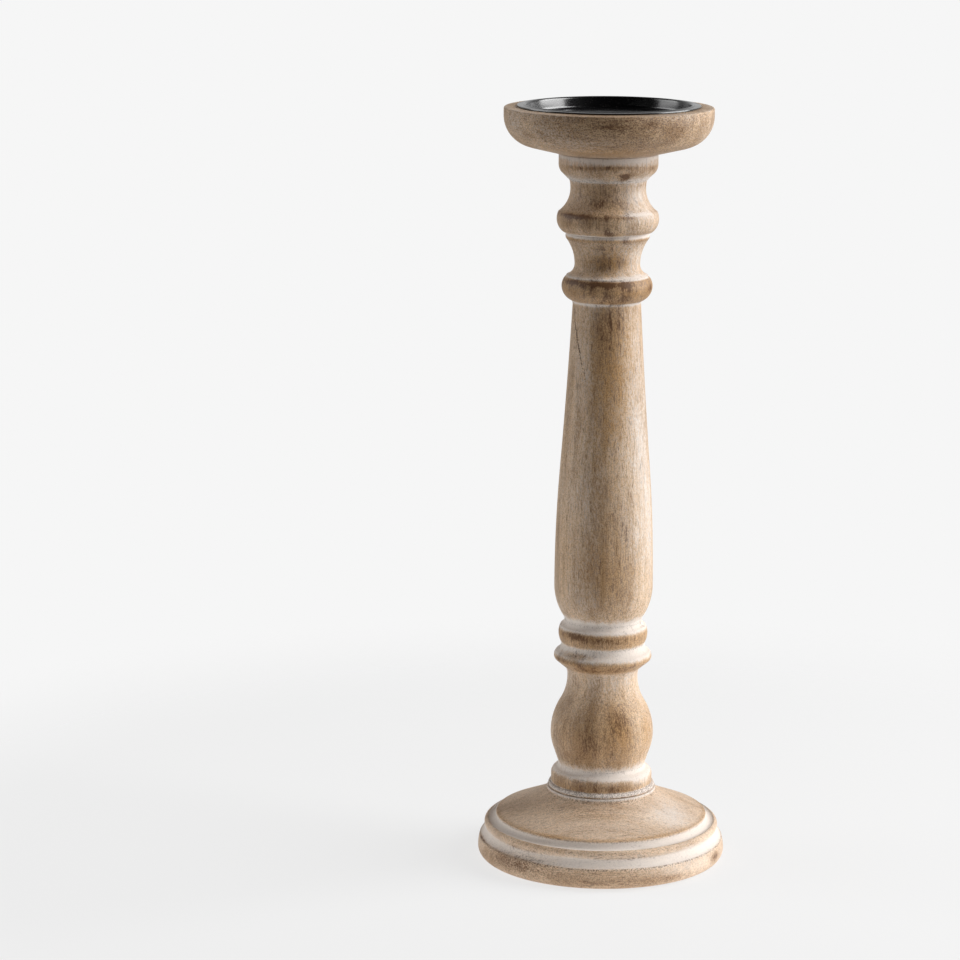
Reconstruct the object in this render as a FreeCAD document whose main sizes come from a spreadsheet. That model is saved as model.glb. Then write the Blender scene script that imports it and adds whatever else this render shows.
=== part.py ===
import FreeCAD, Part
import math
import os
import Sketcher

# A turned wooden stand for a pillar candle, with a loose metal dish let into its cup.
# Sizes are in millimetres. The stand's axis is Z, and it stands on Z = 0.
# A rise is the height of one moulding, from the end of the one below it to its own end.

SIZES = {
    "base_felt": {
        "felt_dia": 100.0,
        "felt_thickness": 2.0,
        "felt_gap": 0.5,
    },
    "foot": {
        "foot_height": 35.7,
        "foot_dia": 124.4,
        "foot_sole_dia": 119.2,
        "foot_edge_rise": 4.2,
        "foot_band_top_dia": 122.6,
        "foot_band_rise": 6.0,
        "foot_cove_dia": 116.8,
        "foot_cove_rise": 4.3,
        "foot_bead_dia": 118.0,
        "foot_bead_lower_rise": 2.0,
        "foot_bead_top_dia": 114.6,
        "foot_bead_upper_rise": 2.3,
        "foot_groove_dia": 106.2,
        "foot_groove_rise": 2.1,
        "foot_nose_rise": 0.5,
        "foot_nose_top_dia": 104.8,
        "foot_nose_round_rise": 0.9,
        "dome_break_dia": 81.2,
        "dome_break_rise": 4.7,
        "land_dia": 54.8,
        "land_rise": 1.6,
        "felt_relief_depth": 1.2,
        "counterbore_dia": 18.0,
        "counterbore_depth": 6.0,
    },
    "column": {
        "column_length": 320.6,
        "base_dia": 52.4,
        "base_bead_dia": 53.6,
        "base_bead_rise": 1.2,
        "lower_collar_dia": 50.8,
        "lower_collar_rise": 4.4,
        "lower_collar_top_dia": 46.8,
        "lower_collar_round_rise": 3.1,
        "bulb_groove_dia": 43.2,
        "bulb_groove_rise": 2.3,
        "bulb_slope_dia": 48.3,
        "bulb_slope_rise": 7.5,
        "bulb_dia": 51.6,
        "bulb_lower_rise": 8.7,
        "bulb_upper_rise": 29.2,
        "bulb_turn_share": 0.55,
        "waist_dia": 35.2,
        "waist_flare_dia": 37.0,
        "waist_flare_rise": 4.2,
        "lower_ring_edge_dia": 46.8,
        "lower_ring_dia": 49.0,
        "lower_ring_under_rise": 4.1,
        "lower_ring_nose_rise": 2.1,
        "lower_ring_round_rise": 2.5,
        "ring_groove_dia": 41.6,
        "ring_groove_rise": 4.1,
        "upper_ring_dia": 44.6,
        "upper_ring_lower_rise": 5.4,
        "upper_ring_top_dia": 42.6,
        "upper_ring_upper_rise": 4.0,
        "shaft_groove_dia": 38.8,
        "shaft_groove_rise": 2.4,
        "shaft_foot_rise": 1.3,
        "shaft_dia": 49.3,
        "shaft_swell_rise": 16.8,
        "shaft_middle_dia": 44.6,
        "shaft_belly_rise": 60.0,
        "shaft_top_dia": 33.7,
        "shaft_flare_dia": 35.2,
        "shaft_flare_rise": 2.0,
        "torus_dia": 44.8,
        "torus_lower_rise": 7.1,
        "torus_top_dia": 41.2,
        "torus_upper_rise": 4.5,
        "torus_fillet_dia": 40.4,
        "torus_fillet_rise": 0.8,
        "cove_dia": 32.2,
        "cove_lower_rise": 5.4,
        "cove_top_dia": 40.0,
        "cove_upper_rise": 12.3,
        "astragal_dia": 41.4,
        "astragal_lower_rise": 1.7,
        "astragal_top_dia": 40.4,
        "astragal_upper_rise": 1.6,
        "knop_foot_dia": 44.0,
        "knop_foot_rise": 0.5,
        "knop_dia": 50.2,
        "knop_lower_rise": 6.2,
        "knop_arris_dia": 48.8,
        "knop_upper_rise": 3.5,
        "neck_dia": 37.0,
        "neck_cove_rise": 11.5,
        "neck_top_dia": 37.8,
        "neck_rise": 3.8,
        "collar_foot_dia": 39.0,
        "collar_foot_rise": 0.8,
        "collar_cushion_dia": 46.6,
        "collar_cushion_rise": 3.8,
        "collar_dia": 48.8,
        "collar_round_rise": 3.8,
        "collar_rise": 4.6,
        "collar_chamfer": 0.5,
        "foot_tenon_dia": 22.0,
        "foot_tenon_length": 22.0,
        "cup_tenon_dia": 20.0,
        "cup_tenon_length": 8.6,
    },
    "cup": {
        "cup_height": 22.6,
        "cup_dia": 102.8,
        "cup_seat_dia": 50.0,
        "cup_underside_dia": 80.6,
        "cup_underside_rise": 3.7,
        "cup_side_rise": 14.6,
        "cup_rim_dia": 101.0,
        "cup_rim_round_rise": 0.8,
        "cup_land_dia": 91.8,
        "cup_rim_slope_rise": 0.2,
    },
    "dish": {
        "dish_sheet": 0.8,
        "dish_dia": 89.8,
        "dish_bore_dia": 80.4,
        "dish_depth": 5.9,
        "dish_corner": 1.6,
        "dish_lip": 1.2,
        "dish_crest_rise": 0.5,
        "dish_ramp": 0.9,
        "dish_side_gap": 0.5,
        "dish_floor_gap": 0.4,
    },
    "screws": {
        "screw_dia": 5.0,
        "screw_point": 4.0,
        "cup_screw_length": 40.0,
        "cup_screw_sink": 0.6,
        "flat_head_dia": 9.6,
        "flat_head_rise": 2.7,
        "flat_head_rim": 0.3,
        "foot_screw_length": 38.0,
        "pan_head_dia": 9.8,
        "pan_head_top_dia": 7.0,
        "pan_head_side": 1.6,
        "pan_head_round_rise": 1.7,
        "washer_dia": 16.0,
        "washer_thickness": 1.4,
        "drive_length": 4.6,
        "drive_width": 1.0,
        "drive_depth": 1.8,
    },
    "fits": {
        "glue_gap": 0.1,
        "tenon_end_gap": 0.5,
        "pilot_gap": 0.05,
        "shank_gap": 0.25,
    },
}


class Size:
    """A length together with the sheet expression that gives it, so that sums stay tied to the sheet."""

    def __init__(self, value, text):
        self.value = value
        self.text = text

    def __add__(self, other):
        return Size(self.value + other.value, f"({self.text} + {other.text})")

    def __sub__(self, other):
        return Size(self.value - other.value, f"({self.text} - {other.text})")

    def __mul__(self, share):
        return Size(self.value * share.value, f"({self.text} * {share.text})")

    def __neg__(self):
        return Size(-self.value, f"(-{self.text})")

    def half(self):
        """The radius of a diameter."""
        return Size(self.value / 2, f"({self.text} / 2)")

    def twice(self):
        """A gap or a radius counted on both sides of the axis."""
        return Size(self.value * 2, f"({self.text} * 2)")


class Sizes:
    """The driving dimensions: one attribute for each named cell of the document's sheet."""

    def __init__(self, doc):
        sheet = doc.addObject("Spreadsheet::Sheet", "Sizes")
        row = 1
        for piece, cells in SIZES.items():
            sheet.set(f"A{row}", piece)
            row += 1
            for alias, value in cells.items():
                sheet.set(f"A{row}", alias)
                sheet.set(f"B{row}", str(value))
                sheet.setAlias(f"B{row}", alias)
                setattr(self, alias, Size(value, f"Sizes.{alias}"))
                row += 1
        doc.recompute()


def total(sizes):
    """The sum of several lengths."""
    first, *rest = sizes
    for size in rest:
        first = first + size
    return first


def origin_plane(body, role):
    """One of the body's own origin planes."""
    for feature in body.Origin.OriginFeatures:
        if feature.Role == role:
            return feature
    raise ValueError(f"{body.Label} has no {role}")


def attached_sketch(body, role, name):
    """An empty sketch on one of the body's origin planes."""
    sketch = body.newObject("Sketcher::SketchObject", name)
    sketch.AttachmentSupport = (origin_plane(body, role), [""])
    sketch.MapMode = "FlatFace"
    return sketch


class Outline:
    """Half of a turned piece's section, drawn from the axis outward and back to the axis.

    Each move starts where the last one ended. Radii are measured from the axis, and rises from the
    last point. Every move is held by sketch constraints that read the sheet.
    """

    AXIS = Size(0.0, "0")
    ROOT = (-1, 1)

    def __init__(self, body, name, start=None):
        self.body = body
        self.name = name
        self.sketch = attached_sketch(body, "XZ_Plane", name)
        self.start = start
        self.x = 0.0
        self.y = start.value if start else 0.0
        self.height = start
        self.first = None
        self.tip = None
        self.heading = (1.0, 0.0)

    def _hold(self, constraint, size):
        """Adds a dimension and ties it to the sheet."""
        index = self.sketch.addConstraint(constraint)
        self.sketch.setExpression(f"Constraints[{index}]", size.text)

    def _hold_rise(self, low, high, rise):
        """Dimensions the height from one point to another, downwards where the rise is negative."""
        if rise.value < 0:
            low, high, rise = high, low, -rise
        self._hold(Sketcher.Constraint("DistanceY", *low, *high, rise.value), rise)

    def _hold_radius(self, point, radius):
        """Dimensions a point's distance from the axis, or lays it on the axis."""
        if radius is self.AXIS:
            self.sketch.addConstraint(Sketcher.Constraint("Vertical", *self.ROOT, *point))
        else:
            self._hold(Sketcher.Constraint("DistanceX", *self.ROOT, *point, radius.value), radius)

    def _join(self, point):
        """Joins a move to the last one, or to the starting point on the axis."""
        if self.tip:
            self.sketch.addConstraint(Sketcher.Constraint("Coincident", *self.tip, *point))
            return
        self.first = point
        if self.start is None:
            self.sketch.addConstraint(Sketcher.Constraint("Coincident", *point, *self.ROOT))
            return
        self._hold_radius(point, self.AXIS)
        self._hold_rise(self.ROOT, point, self.start)

    def _advance(self, x, y, tip, rise):
        """Moves on to the end of the element that was just drawn."""
        self.x, self.y, self.tip = x, y, tip
        if rise:
            self.height = self.height + rise if self.height else rise

    def _line(self, x, y):
        """Draws a straight element and returns its end."""
        start = FreeCAD.Vector(self.x, self.y, 0)
        end = FreeCAD.Vector(x, y, 0)
        index = self.sketch.addGeometry(Part.LineSegment(start, end))
        self._join((index, 1))
        span = math.hypot(x - self.x, y - self.y)
        self.heading = ((x - self.x) / span, (y - self.y) / span)
        return (index, 2)

    def _arc(self, x, y, centre):
        """Adds the arc about a centre that leads to a point, and returns its two ends in order."""
        cx, cy = centre
        begin = math.atan2(self.y - cy, self.x - cx)
        end = math.atan2(y - cy, x - cx)
        sweep = (end - begin) % math.tau
        forward = sweep < math.pi
        if not forward:
            sweep = math.tau - sweep
        low = begin if forward else end
        circle = Part.Circle(FreeCAD.Vector(cx, cy, 0), FreeCAD.Vector(0, 0, 1), math.hypot(x - cx, y - cy))
        index = self.sketch.addGeometry(Part.ArcOfCircle(circle, low, low + sweep))
        sense = 1.0 if forward else -1.0
        self.heading = (-math.sin(end) * sense, math.cos(end) * sense)
        return ((index, 1), (index, 2)) if forward else ((index, 2), (index, 1))

    def across(self, radius):
        """A level line out or in to a radius."""
        tip = self._line(radius.value, self.y)
        self.sketch.addConstraint(Sketcher.Constraint("Horizontal", tip[0]))
        self._hold_radius(tip, radius)
        self._advance(radius.value, self.y, tip, None)

    def up(self, rise):
        """An upright line, downwards where the rise is negative."""
        tip = self._line(self.x, self.y + rise.value)
        self.sketch.addConstraint(Sketcher.Constraint("Vertical", tip[0]))
        self._hold_rise((tip[0], 1), tip, rise)
        self._advance(self.x, self.y + rise.value, tip, rise)

    def slope(self, radius, rise):
        """A straight sloping line."""
        tip = self._line(radius.value, self.y + rise.value)
        self._hold_radius(tip, radius)
        self._hold_rise((tip[0], 1), tip, rise)
        self._advance(radius.value, self.y + rise.value, tip, rise)

    def _upright_arc(self, radius, rise, upright_at_end):
        """An arc whose tangent is upright at one end, because its centre is level with that end."""
        x = radius.value
        y = self.y + rise.value
        reach = x - self.x
        bend = (reach ** 2 + rise.value ** 2) / (2 * abs(reach))
        side = math.copysign(bend, reach)
        centre = (x - side, y) if upright_at_end else (self.x + side, self.y)
        begin, tip = self._arc(x, y, centre)
        self._join(begin)
        level = tip if upright_at_end else begin
        self.sketch.addConstraint(Sketcher.Constraint("Horizontal", begin[0], 3, *level))
        self._hold_radius(tip, radius)
        self._hold_rise(begin, tip, rise)
        self._advance(x, y, tip, rise)

    def arc_to_upright(self, radius, rise):
        """An arc that ends upright, as under a bead's belly or under a cove's throat."""
        self._upright_arc(radius, rise, True)

    def arc_from_upright(self, radius, rise):
        """An arc that starts upright, as over a bead's belly or over a cove's throat."""
        self._upright_arc(radius, rise, False)

    def blend(self, radius, rise):
        """An arc that runs on smoothly from the last move."""
        x = radius.value
        y = self.y + rise.value
        reach = (x - self.x, rise.value)
        side = (-self.heading[1], self.heading[0])
        bend = (reach[0] ** 2 + reach[1] ** 2) / (2 * (reach[0] * side[0] + reach[1] * side[1]))
        begin, tip = self._arc(x, y, (self.x + side[0] * bend, self.y + side[1] * bend))
        self.sketch.addConstraint(Sketcher.Constraint("Tangent", *self.tip, *begin))
        self._hold_radius(tip, radius)
        self._hold_rise(begin, tip, rise)
        self._advance(x, y, tip, rise)

    def close(self):
        """A last line back to the first point."""
        tip = FreeCAD.Vector(self.x, self.y, 0)
        origin = FreeCAD.Vector(0, self.start.value if self.start else 0, 0)
        index = self.sketch.addGeometry(Part.LineSegment(tip, origin))
        self.sketch.addConstraint(Sketcher.Constraint("Coincident", *self.tip, index, 1))
        self.sketch.addConstraint(Sketcher.Constraint("Coincident", *self.first, index, 2))

    def turn(self, cut=False):
        """Closes the outline and turns it about the axis, as solid or as a cut in the body's solid."""
        self.close()
        before = self.body.Shape.Volume if cut else 0
        kind = "PartDesign::Groove" if cut else "PartDesign::Revolution"
        feature = self.body.newObject(kind, f"{self.name}_turned")
        feature.Profile = (self.sketch, [""])
        feature.ReferenceAxis = (self.sketch, ["V_Axis"])
        feature.Angle = 360
        self.body.Document.recompute()
        if cut and not self.body.Shape.Volume < before:
            raise ValueError(f"{self.name} cuts nothing")


def new_body(doc, name):
    """An empty body whose label names its file."""
    body = doc.addObject("PartDesign::Body", name)
    body.Label = name
    return body


def seat(body, height):
    """Lifts a finished body to the height of its seat on the axis."""
    body.setExpression("Placement.Base.z", height.text)


def padded_rings(body, diameters, thickness):
    """A flat disc, or a flat ring where two diameters are given."""
    sketch = attached_sketch(body, "XY_Plane", f"{body.Name}_plan")
    for diameter in diameters:
        circle = Part.Circle(FreeCAD.Vector(0, 0, 0), FreeCAD.Vector(0, 0, 1), diameter.value / 2)
        index = sketch.addGeometry(circle)
        sketch.addConstraint(Sketcher.Constraint("Coincident", index, 3, *Outline.ROOT))
        held = sketch.addConstraint(Sketcher.Constraint("Diameter", index, diameter.value))
        sketch.setExpression(f"Constraints[{held}]", diameter.text)
    pad = body.newObject("PartDesign::Pad", f"{body.Name}_pad")
    pad.Profile = (sketch, [""])
    pad.setExpression("Length", thickness.text)


def base_felt(doc, s):
    """The felt disc under the foot, which the stand rests on."""
    body = new_body(doc, "base_felt")
    padded_rings(body, [s.felt_dia], s.felt_thickness)


def foot(doc, s):
    """The turned foot: plain band, cove, bead, groove and domed top, up to the land for the column."""
    body = new_body(doc, "foot")
    outline = Outline(body, "foot_section")
    outline.across(s.foot_sole_dia.half())
    outline.arc_to_upright(s.foot_dia.half(), s.foot_edge_rise)
    outline.arc_from_upright(s.foot_band_top_dia.half(), s.foot_band_rise)
    outline.arc_to_upright(s.foot_cove_dia.half(), s.foot_cove_rise)
    outline.arc_to_upright(s.foot_bead_dia.half(), s.foot_bead_lower_rise)
    outline.arc_from_upright(s.foot_bead_top_dia.half(), s.foot_bead_upper_rise)
    outline.arc_to_upright(s.foot_groove_dia.half(), s.foot_groove_rise)
    outline.up(s.foot_nose_rise)
    outline.arc_from_upright(s.foot_nose_top_dia.half(), s.foot_nose_round_rise)
    outline.slope(s.dome_break_dia.half(), s.dome_break_rise)
    outline.blend(s.land_dia.half(), s.foot_height - outline.height - s.land_rise)
    outline.up(s.land_rise)
    outline.across(Outline.AXIS)
    outline.turn()

    bore = Outline(body, "relief_counterbore_and_socket")
    bore.across(s.felt_dia.half() + s.felt_gap)
    bore.up(s.felt_relief_depth)
    bore.across(s.counterbore_dia.half())
    bore.up(s.counterbore_depth)
    bore.across(s.screw_dia.half() + s.shank_gap)
    bore.up(s.foot_height - bore.height - s.foot_tenon_length - s.tenon_end_gap)
    bore.across(s.foot_tenon_dia.half() + s.glue_gap)
    bore.up(s.foot_tenon_length + s.tenon_end_gap)
    bore.across(Outline.AXIS)
    bore.turn(cut=True)
    seat(body, foot_seat(s))


def foot_seat(s):
    """The height of the foot's rim above the ground, on the felt that stands proud of it."""
    return s.felt_thickness - s.felt_relief_depth


def column_seat(s):
    """The height of the land on the foot that the column's shoulder stands on."""
    return foot_seat(s) + s.foot_height


def cup_seat(s):
    """The height of the column's upper shoulder, which the cup rests on."""
    return column_seat(s) + s.column_length


def rim_height(s):
    """The height of the flat land on the cup's rim, which the dish's flange lies on."""
    return cup_seat(s) + s.cup_height


def recess_depth(s):
    """The depth of the cup's recess below the rim's land, with room under the dish."""
    return s.dish_depth - s.dish_crest_rise + s.dish_floor_gap


def column_lower_mouldings(outline, s):
    """Base bead, collar, bulb, waist and the two rings under the shaft."""
    outline.across(s.base_dia.half())
    outline.arc_to_upright(s.base_bead_dia.half(), s.base_bead_rise)
    outline.arc_from_upright(s.lower_collar_dia.half(), s.base_bead_rise)
    outline.up(s.lower_collar_rise)
    outline.arc_from_upright(s.lower_collar_top_dia.half(), s.lower_collar_round_rise)
    outline.arc_to_upright(s.bulb_groove_dia.half(), s.bulb_groove_rise)
    outline.slope(s.bulb_slope_dia.half(), s.bulb_slope_rise)
    outline.arc_to_upright(s.bulb_dia.half(), s.bulb_lower_rise)
    turn_rise = s.bulb_upper_rise * s.bulb_turn_share
    turn_radius = s.bulb_dia.half() - (s.bulb_dia - s.waist_dia).half() * s.bulb_turn_share
    outline.arc_from_upright(turn_radius, turn_rise)
    outline.arc_to_upright(s.waist_dia.half(), s.bulb_upper_rise - turn_rise)
    outline.arc_from_upright(s.waist_flare_dia.half(), s.waist_flare_rise)
    outline.slope(s.lower_ring_edge_dia.half(), s.lower_ring_under_rise)
    outline.arc_to_upright(s.lower_ring_dia.half(), s.lower_ring_nose_rise)
    outline.arc_from_upright(s.lower_ring_edge_dia.half(), s.lower_ring_round_rise)
    outline.arc_to_upright(s.ring_groove_dia.half(), s.ring_groove_rise)
    outline.arc_to_upright(s.upper_ring_dia.half(), s.upper_ring_lower_rise)
    outline.arc_from_upright(s.upper_ring_top_dia.half(), s.upper_ring_upper_rise)
    outline.arc_to_upright(s.shaft_groove_dia.half(), s.shaft_groove_rise)


def column_shaft(outline, s):
    """The shaft: a quick swell at its foot, a belly, and a long taper that fills what length is left."""
    outline.up(s.shaft_foot_rise)
    outline.arc_to_upright(s.shaft_dia.half(), s.shaft_swell_rise)
    outline.arc_from_upright(s.shaft_middle_dia.half(), s.shaft_belly_rise)
    above = total([
        s.shaft_flare_rise, s.torus_lower_rise, s.torus_upper_rise, s.torus_fillet_rise,
        s.cove_lower_rise, s.cove_upper_rise, s.astragal_lower_rise, s.astragal_upper_rise,
        s.knop_foot_rise, s.knop_lower_rise, s.knop_upper_rise, s.neck_cove_rise, s.neck_rise,
        s.collar_foot_rise, s.collar_cushion_rise, s.collar_round_rise, s.collar_rise, s.collar_chamfer,
    ])
    outline.blend(s.shaft_top_dia.half(), s.column_length - outline.height - above)


def column_upper_mouldings(outline, s):
    """Torus, tapering cove, astragal, knop, neck and the cushioned collar under the cup."""
    outline.arc_from_upright(s.shaft_flare_dia.half(), s.shaft_flare_rise)
    outline.arc_to_upright(s.torus_dia.half(), s.torus_lower_rise)
    outline.arc_from_upright(s.torus_top_dia.half(), s.torus_upper_rise)
    outline.across(s.torus_fillet_dia.half())
    outline.up(s.torus_fillet_rise)
    outline.arc_to_upright(s.cove_dia.half(), s.cove_lower_rise)
    outline.arc_from_upright(s.cove_top_dia.half(), s.cove_upper_rise)
    outline.arc_to_upright(s.astragal_dia.half(), s.astragal_lower_rise)
    outline.arc_from_upright(s.astragal_top_dia.half(), s.astragal_upper_rise)
    outline.slope(s.knop_foot_dia.half(), s.knop_foot_rise)
    outline.arc_to_upright(s.knop_dia.half(), s.knop_lower_rise)
    outline.arc_from_upright(s.knop_arris_dia.half(), s.knop_upper_rise)
    outline.arc_to_upright(s.neck_dia.half(), s.neck_cove_rise)
    outline.arc_from_upright(s.neck_top_dia.half(), s.neck_rise)
    outline.slope(s.collar_foot_dia.half(), s.collar_foot_rise)
    outline.slope(s.collar_cushion_dia.half(), s.collar_cushion_rise)
    outline.arc_to_upright(s.collar_dia.half(), s.collar_round_rise)
    outline.up(s.collar_rise)
    outline.slope(s.collar_dia.half() - s.collar_chamfer, s.collar_chamfer)


def column(doc, s):
    """The spindle, one piece of wood with a tenon at each end and a pilot hole for each screw."""
    body = new_body(doc, "column")
    outline = Outline(body, "spindle_section", -s.foot_tenon_length)
    outline.across(s.foot_tenon_dia.half())
    outline.up(s.foot_tenon_length)
    column_lower_mouldings(outline, s)
    column_shaft(outline, s)
    column_upper_mouldings(outline, s)
    outline.across(s.cup_tenon_dia.half())
    outline.up(s.cup_tenon_length)
    outline.across(Outline.AXIS)
    outline.turn()

    lower = Outline(body, "foot_pilot", -s.foot_tenon_length)
    lower.across(s.screw_dia.half() + s.pilot_gap)
    lower.up(washer_seat(s) + s.foot_screw_length - column_seat(s) + s.foot_tenon_length)
    lower.across(Outline.AXIS)
    lower.turn(cut=True)

    upper = Outline(body, "cup_pilot", cup_screw_seat(s) - s.cup_screw_length - column_seat(s))
    upper.across(s.screw_dia.half() + s.pilot_gap)
    upper.up(s.cup_screw_length - cup_screw_seat(s) + cup_seat(s) + s.cup_tenon_length)
    upper.across(Outline.AXIS)
    upper.turn(cut=True)
    seat(body, column_seat(s))


def cup(doc, s):
    """The bowl-shaped cup, with the dish's recess above and the column's socket below."""
    body = new_body(doc, "cup")
    outline = Outline(body, "cup_section")
    outline.across(s.cup_seat_dia.half())
    outline.slope(s.cup_underside_dia.half(), s.cup_underside_rise)
    outline.arc_to_upright(s.cup_dia.half(), s.cup_side_rise)
    outline.up(s.cup_height - outline.height - s.cup_rim_round_rise - s.cup_rim_slope_rise)
    outline.arc_from_upright(s.cup_rim_dia.half(), s.cup_rim_round_rise)
    outline.slope(s.cup_land_dia.half(), s.cup_rim_slope_rise)
    outline.across(s.dish_bore_dia.half() + s.dish_sheet + s.dish_side_gap)
    outline.up(-recess_depth(s))
    outline.across(Outline.AXIS)
    outline.turn()

    bore = Outline(body, "socket_and_screw_hole")
    bore.across(s.cup_tenon_dia.half() + s.glue_gap)
    bore.up(s.cup_tenon_length + s.tenon_end_gap)
    bore.across(s.screw_dia.half() + s.shank_gap)
    head_foot = cup_screw_seat(s) - s.flat_head_rim - s.flat_head_rise - cup_seat(s)
    bore.up(head_foot - bore.height)
    bore.slope(s.flat_head_dia.half() + s.shank_gap, s.flat_head_rise)
    bore.up(s.flat_head_rim + s.cup_screw_sink)
    bore.across(Outline.AXIS)
    bore.turn(cut=True)
    seat(body, cup_seat(s))


def dish(doc, s):
    """The pressed dish: floor, wall, rolled lip and a flat flange, all of one thickness of sheet."""
    body = new_body(doc, "dish")
    wall = s.dish_bore_dia.half()
    crest = s.dish_sheet + s.dish_crest_rise
    outline = Outline(body, "dish_section", crest - s.dish_depth - s.dish_sheet)
    outline.across(wall - s.dish_corner)
    outer_corner = s.dish_corner + s.dish_sheet
    outline.arc_to_upright(wall + s.dish_sheet, outer_corner)
    outline.up(s.dish_depth - s.dish_corner - s.dish_lip)
    outline.arc_from_upright(wall + s.dish_lip, s.dish_lip - s.dish_sheet)
    outline.slope(wall + s.dish_lip + s.dish_ramp, -s.dish_crest_rise)
    outline.across(s.dish_dia.half())
    outline.up(s.dish_sheet)
    outline.across(wall + s.dish_lip + s.dish_ramp)
    outline.slope(wall + s.dish_lip, s.dish_crest_rise)
    outline.arc_to_upright(wall, -s.dish_lip)
    outline.up(s.dish_corner + s.dish_lip - s.dish_depth)
    outline.arc_from_upright(wall - s.dish_corner, -s.dish_corner)
    outline.across(Outline.AXIS)
    outline.turn()
    seat(body, rim_height(s))


def cross_drive(body, s):
    """The cross cut in a screw's head, down from the level that the head's top is drawn at."""
    sketch = attached_sketch(body, "XY_Plane", f"{body.Name}_drive")
    far = s.drive_length.half()
    near = s.drive_width.half()
    corners = [
        FreeCAD.Vector(-far.value, -near.value, 0),
        FreeCAD.Vector(far.value, -near.value, 0),
        FreeCAD.Vector(far.value, near.value, 0),
        FreeCAD.Vector(-far.value, near.value, 0),
    ]
    for index, corner in enumerate(corners):
        sketch.addGeometry(Part.LineSegment(corner, corners[(index + 1) % len(corners)]))
    for index in range(len(corners)):
        after = (index + 1) % len(corners)
        sketch.addConstraint(Sketcher.Constraint("Coincident", index, 2, after, 1))
        sketch.addConstraint(Sketcher.Constraint("Vertical" if index % 2 else "Horizontal", index))
    sketch.addConstraint(Sketcher.Constraint("Symmetric", 0, 1, 1, 2, *Outline.ROOT))
    length = sketch.addConstraint(Sketcher.Constraint("DistanceX", 0, 1, 0, 2, s.drive_length.value))
    sketch.setExpression(f"Constraints[{length}]", s.drive_length.text)
    width = sketch.addConstraint(Sketcher.Constraint("DistanceY", 1, 1, 1, 2, s.drive_width.value))
    sketch.setExpression(f"Constraints[{width}]", s.drive_width.text)
    before = body.Shape.Volume
    pocket = body.newObject("PartDesign::Pocket", f"{body.Name}_slot")
    pocket.Profile = (sketch, [""])
    pocket.setExpression("Length", s.drive_depth.text)
    body.Document.recompute()
    pattern = body.newObject("PartDesign::PolarPattern", f"{body.Name}_cross")
    pattern.Originals = [pocket]
    pattern.Axis = (sketch, ["N_Axis"])
    pattern.Angle = 90
    pattern.Occurrences = 2
    body.Tip = pattern
    body.Document.recompute()
    if not body.Shape.Volume < before:
        raise ValueError(f"{body.Label} has no drive")


def cup_screw_seat(s):
    """The height of the countersunk head's top, just under the recess's floor."""
    return rim_height(s) - recess_depth(s) - s.cup_screw_sink


def cup_screw(doc, s):
    """The countersunk screw through the cup's floor into the column, drawn down from its head."""
    body = new_body(doc, "cup_screw")
    outline = Outline(body, "cup_screw_section", -s.cup_screw_length)
    outline.slope(s.screw_dia.half(), s.screw_point)
    outline.up(s.cup_screw_length - s.screw_point - s.flat_head_rise - s.flat_head_rim)
    outline.slope(s.flat_head_dia.half(), s.flat_head_rise)
    outline.up(s.flat_head_rim)
    outline.across(Outline.AXIS)
    outline.turn()
    cross_drive(body, s)
    seat(body, cup_screw_seat(s))


def washer_seat(s):
    """The height of the washer's underside, where the pan head bears on it."""
    return foot_seat(s) + s.felt_relief_depth + s.counterbore_depth - s.washer_thickness


def foot_screw(doc, s):
    """The pan-head screw up through the foot into the column's tenon, drawn head up and turned over."""
    body = new_body(doc, "foot_screw")
    head = s.pan_head_side + s.pan_head_round_rise
    outline = Outline(body, "foot_screw_section", -(s.foot_screw_length + head))
    outline.slope(s.screw_dia.half(), s.screw_point)
    outline.up(s.foot_screw_length - s.screw_point)
    outline.across(s.pan_head_dia.half())
    outline.up(s.pan_head_side)
    outline.arc_from_upright(s.pan_head_top_dia.half(), s.pan_head_round_rise)
    outline.across(Outline.AXIS)
    outline.turn()
    cross_drive(body, s)
    turned_over = FreeCAD.Rotation(FreeCAD.Vector(1, 0, 0), 180)
    body.Placement = FreeCAD.Placement(FreeCAD.Vector(0, 0, 0), turned_over)
    seat(body, washer_seat(s) - head)


def foot_washer(doc, s):
    """The washer between the pan head and the wood."""
    body = new_body(doc, "foot_washer")
    padded_rings(body, [s.washer_dia, s.screw_dia + s.shank_gap.twice()], s.washer_thickness)
    seat(body, washer_seat(s))


def check(doc):
    """Stops at an object that failed, a loose sketch or a shape that isn't one valid solid."""
    for item in doc.Objects:
        if "Invalid" in item.State or "Error" in item.State:
            raise ValueError(f"{item.Label} failed: {item.State}")
        if item.TypeId == "Sketcher::SketchObject" and not item.FullyConstrained:
            raise ValueError(f"{item.Label} isn't fully constrained")
        if item.TypeId == "PartDesign::Body":
            shape = item.Shape
            if shape.isNull() or not shape.isValid() or len(shape.Solids) != 1:
                raise ValueError(f"{item.Label} isn't one valid solid")


def main():
    doc = FreeCAD.newDocument("candle_stand")
    s = Sizes(doc)
    base_felt(doc, s)
    foot(doc, s)
    column(doc, s)
    cup(doc, s)
    dish(doc, s)
    cup_screw(doc, s)
    foot_screw(doc, s)
    foot_washer(doc, s)
    doc.recompute()
    check(doc)
    os.makedirs("parts", exist_ok=True)
    for item in doc.Objects:
        if item.TypeId == "PartDesign::Body":
            item.Shape.exportStep(f"parts/{item.Label}.step")
            print(f"{item.Label}: {item.Shape.Volume:.0f} cubic millimetres")


main()
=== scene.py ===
"""A tall turned candle stand of limewashed wood, with a loose black dish for a pillar candle.

The stand's sizes are in millimetres, as on a turner's drawing, and become metres when a mesh is made. A rise
is the height of one moulding, from the end of the one below it to its own end. A turn is an angle about the
stand's axis in degrees: 0 faces the camera and 90 is at its right.
"""
import logging
import math
from dataclasses import dataclass
from enum import Enum
from itertools import pairwise
from typing import ClassVar, Optional, Sequence

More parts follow.
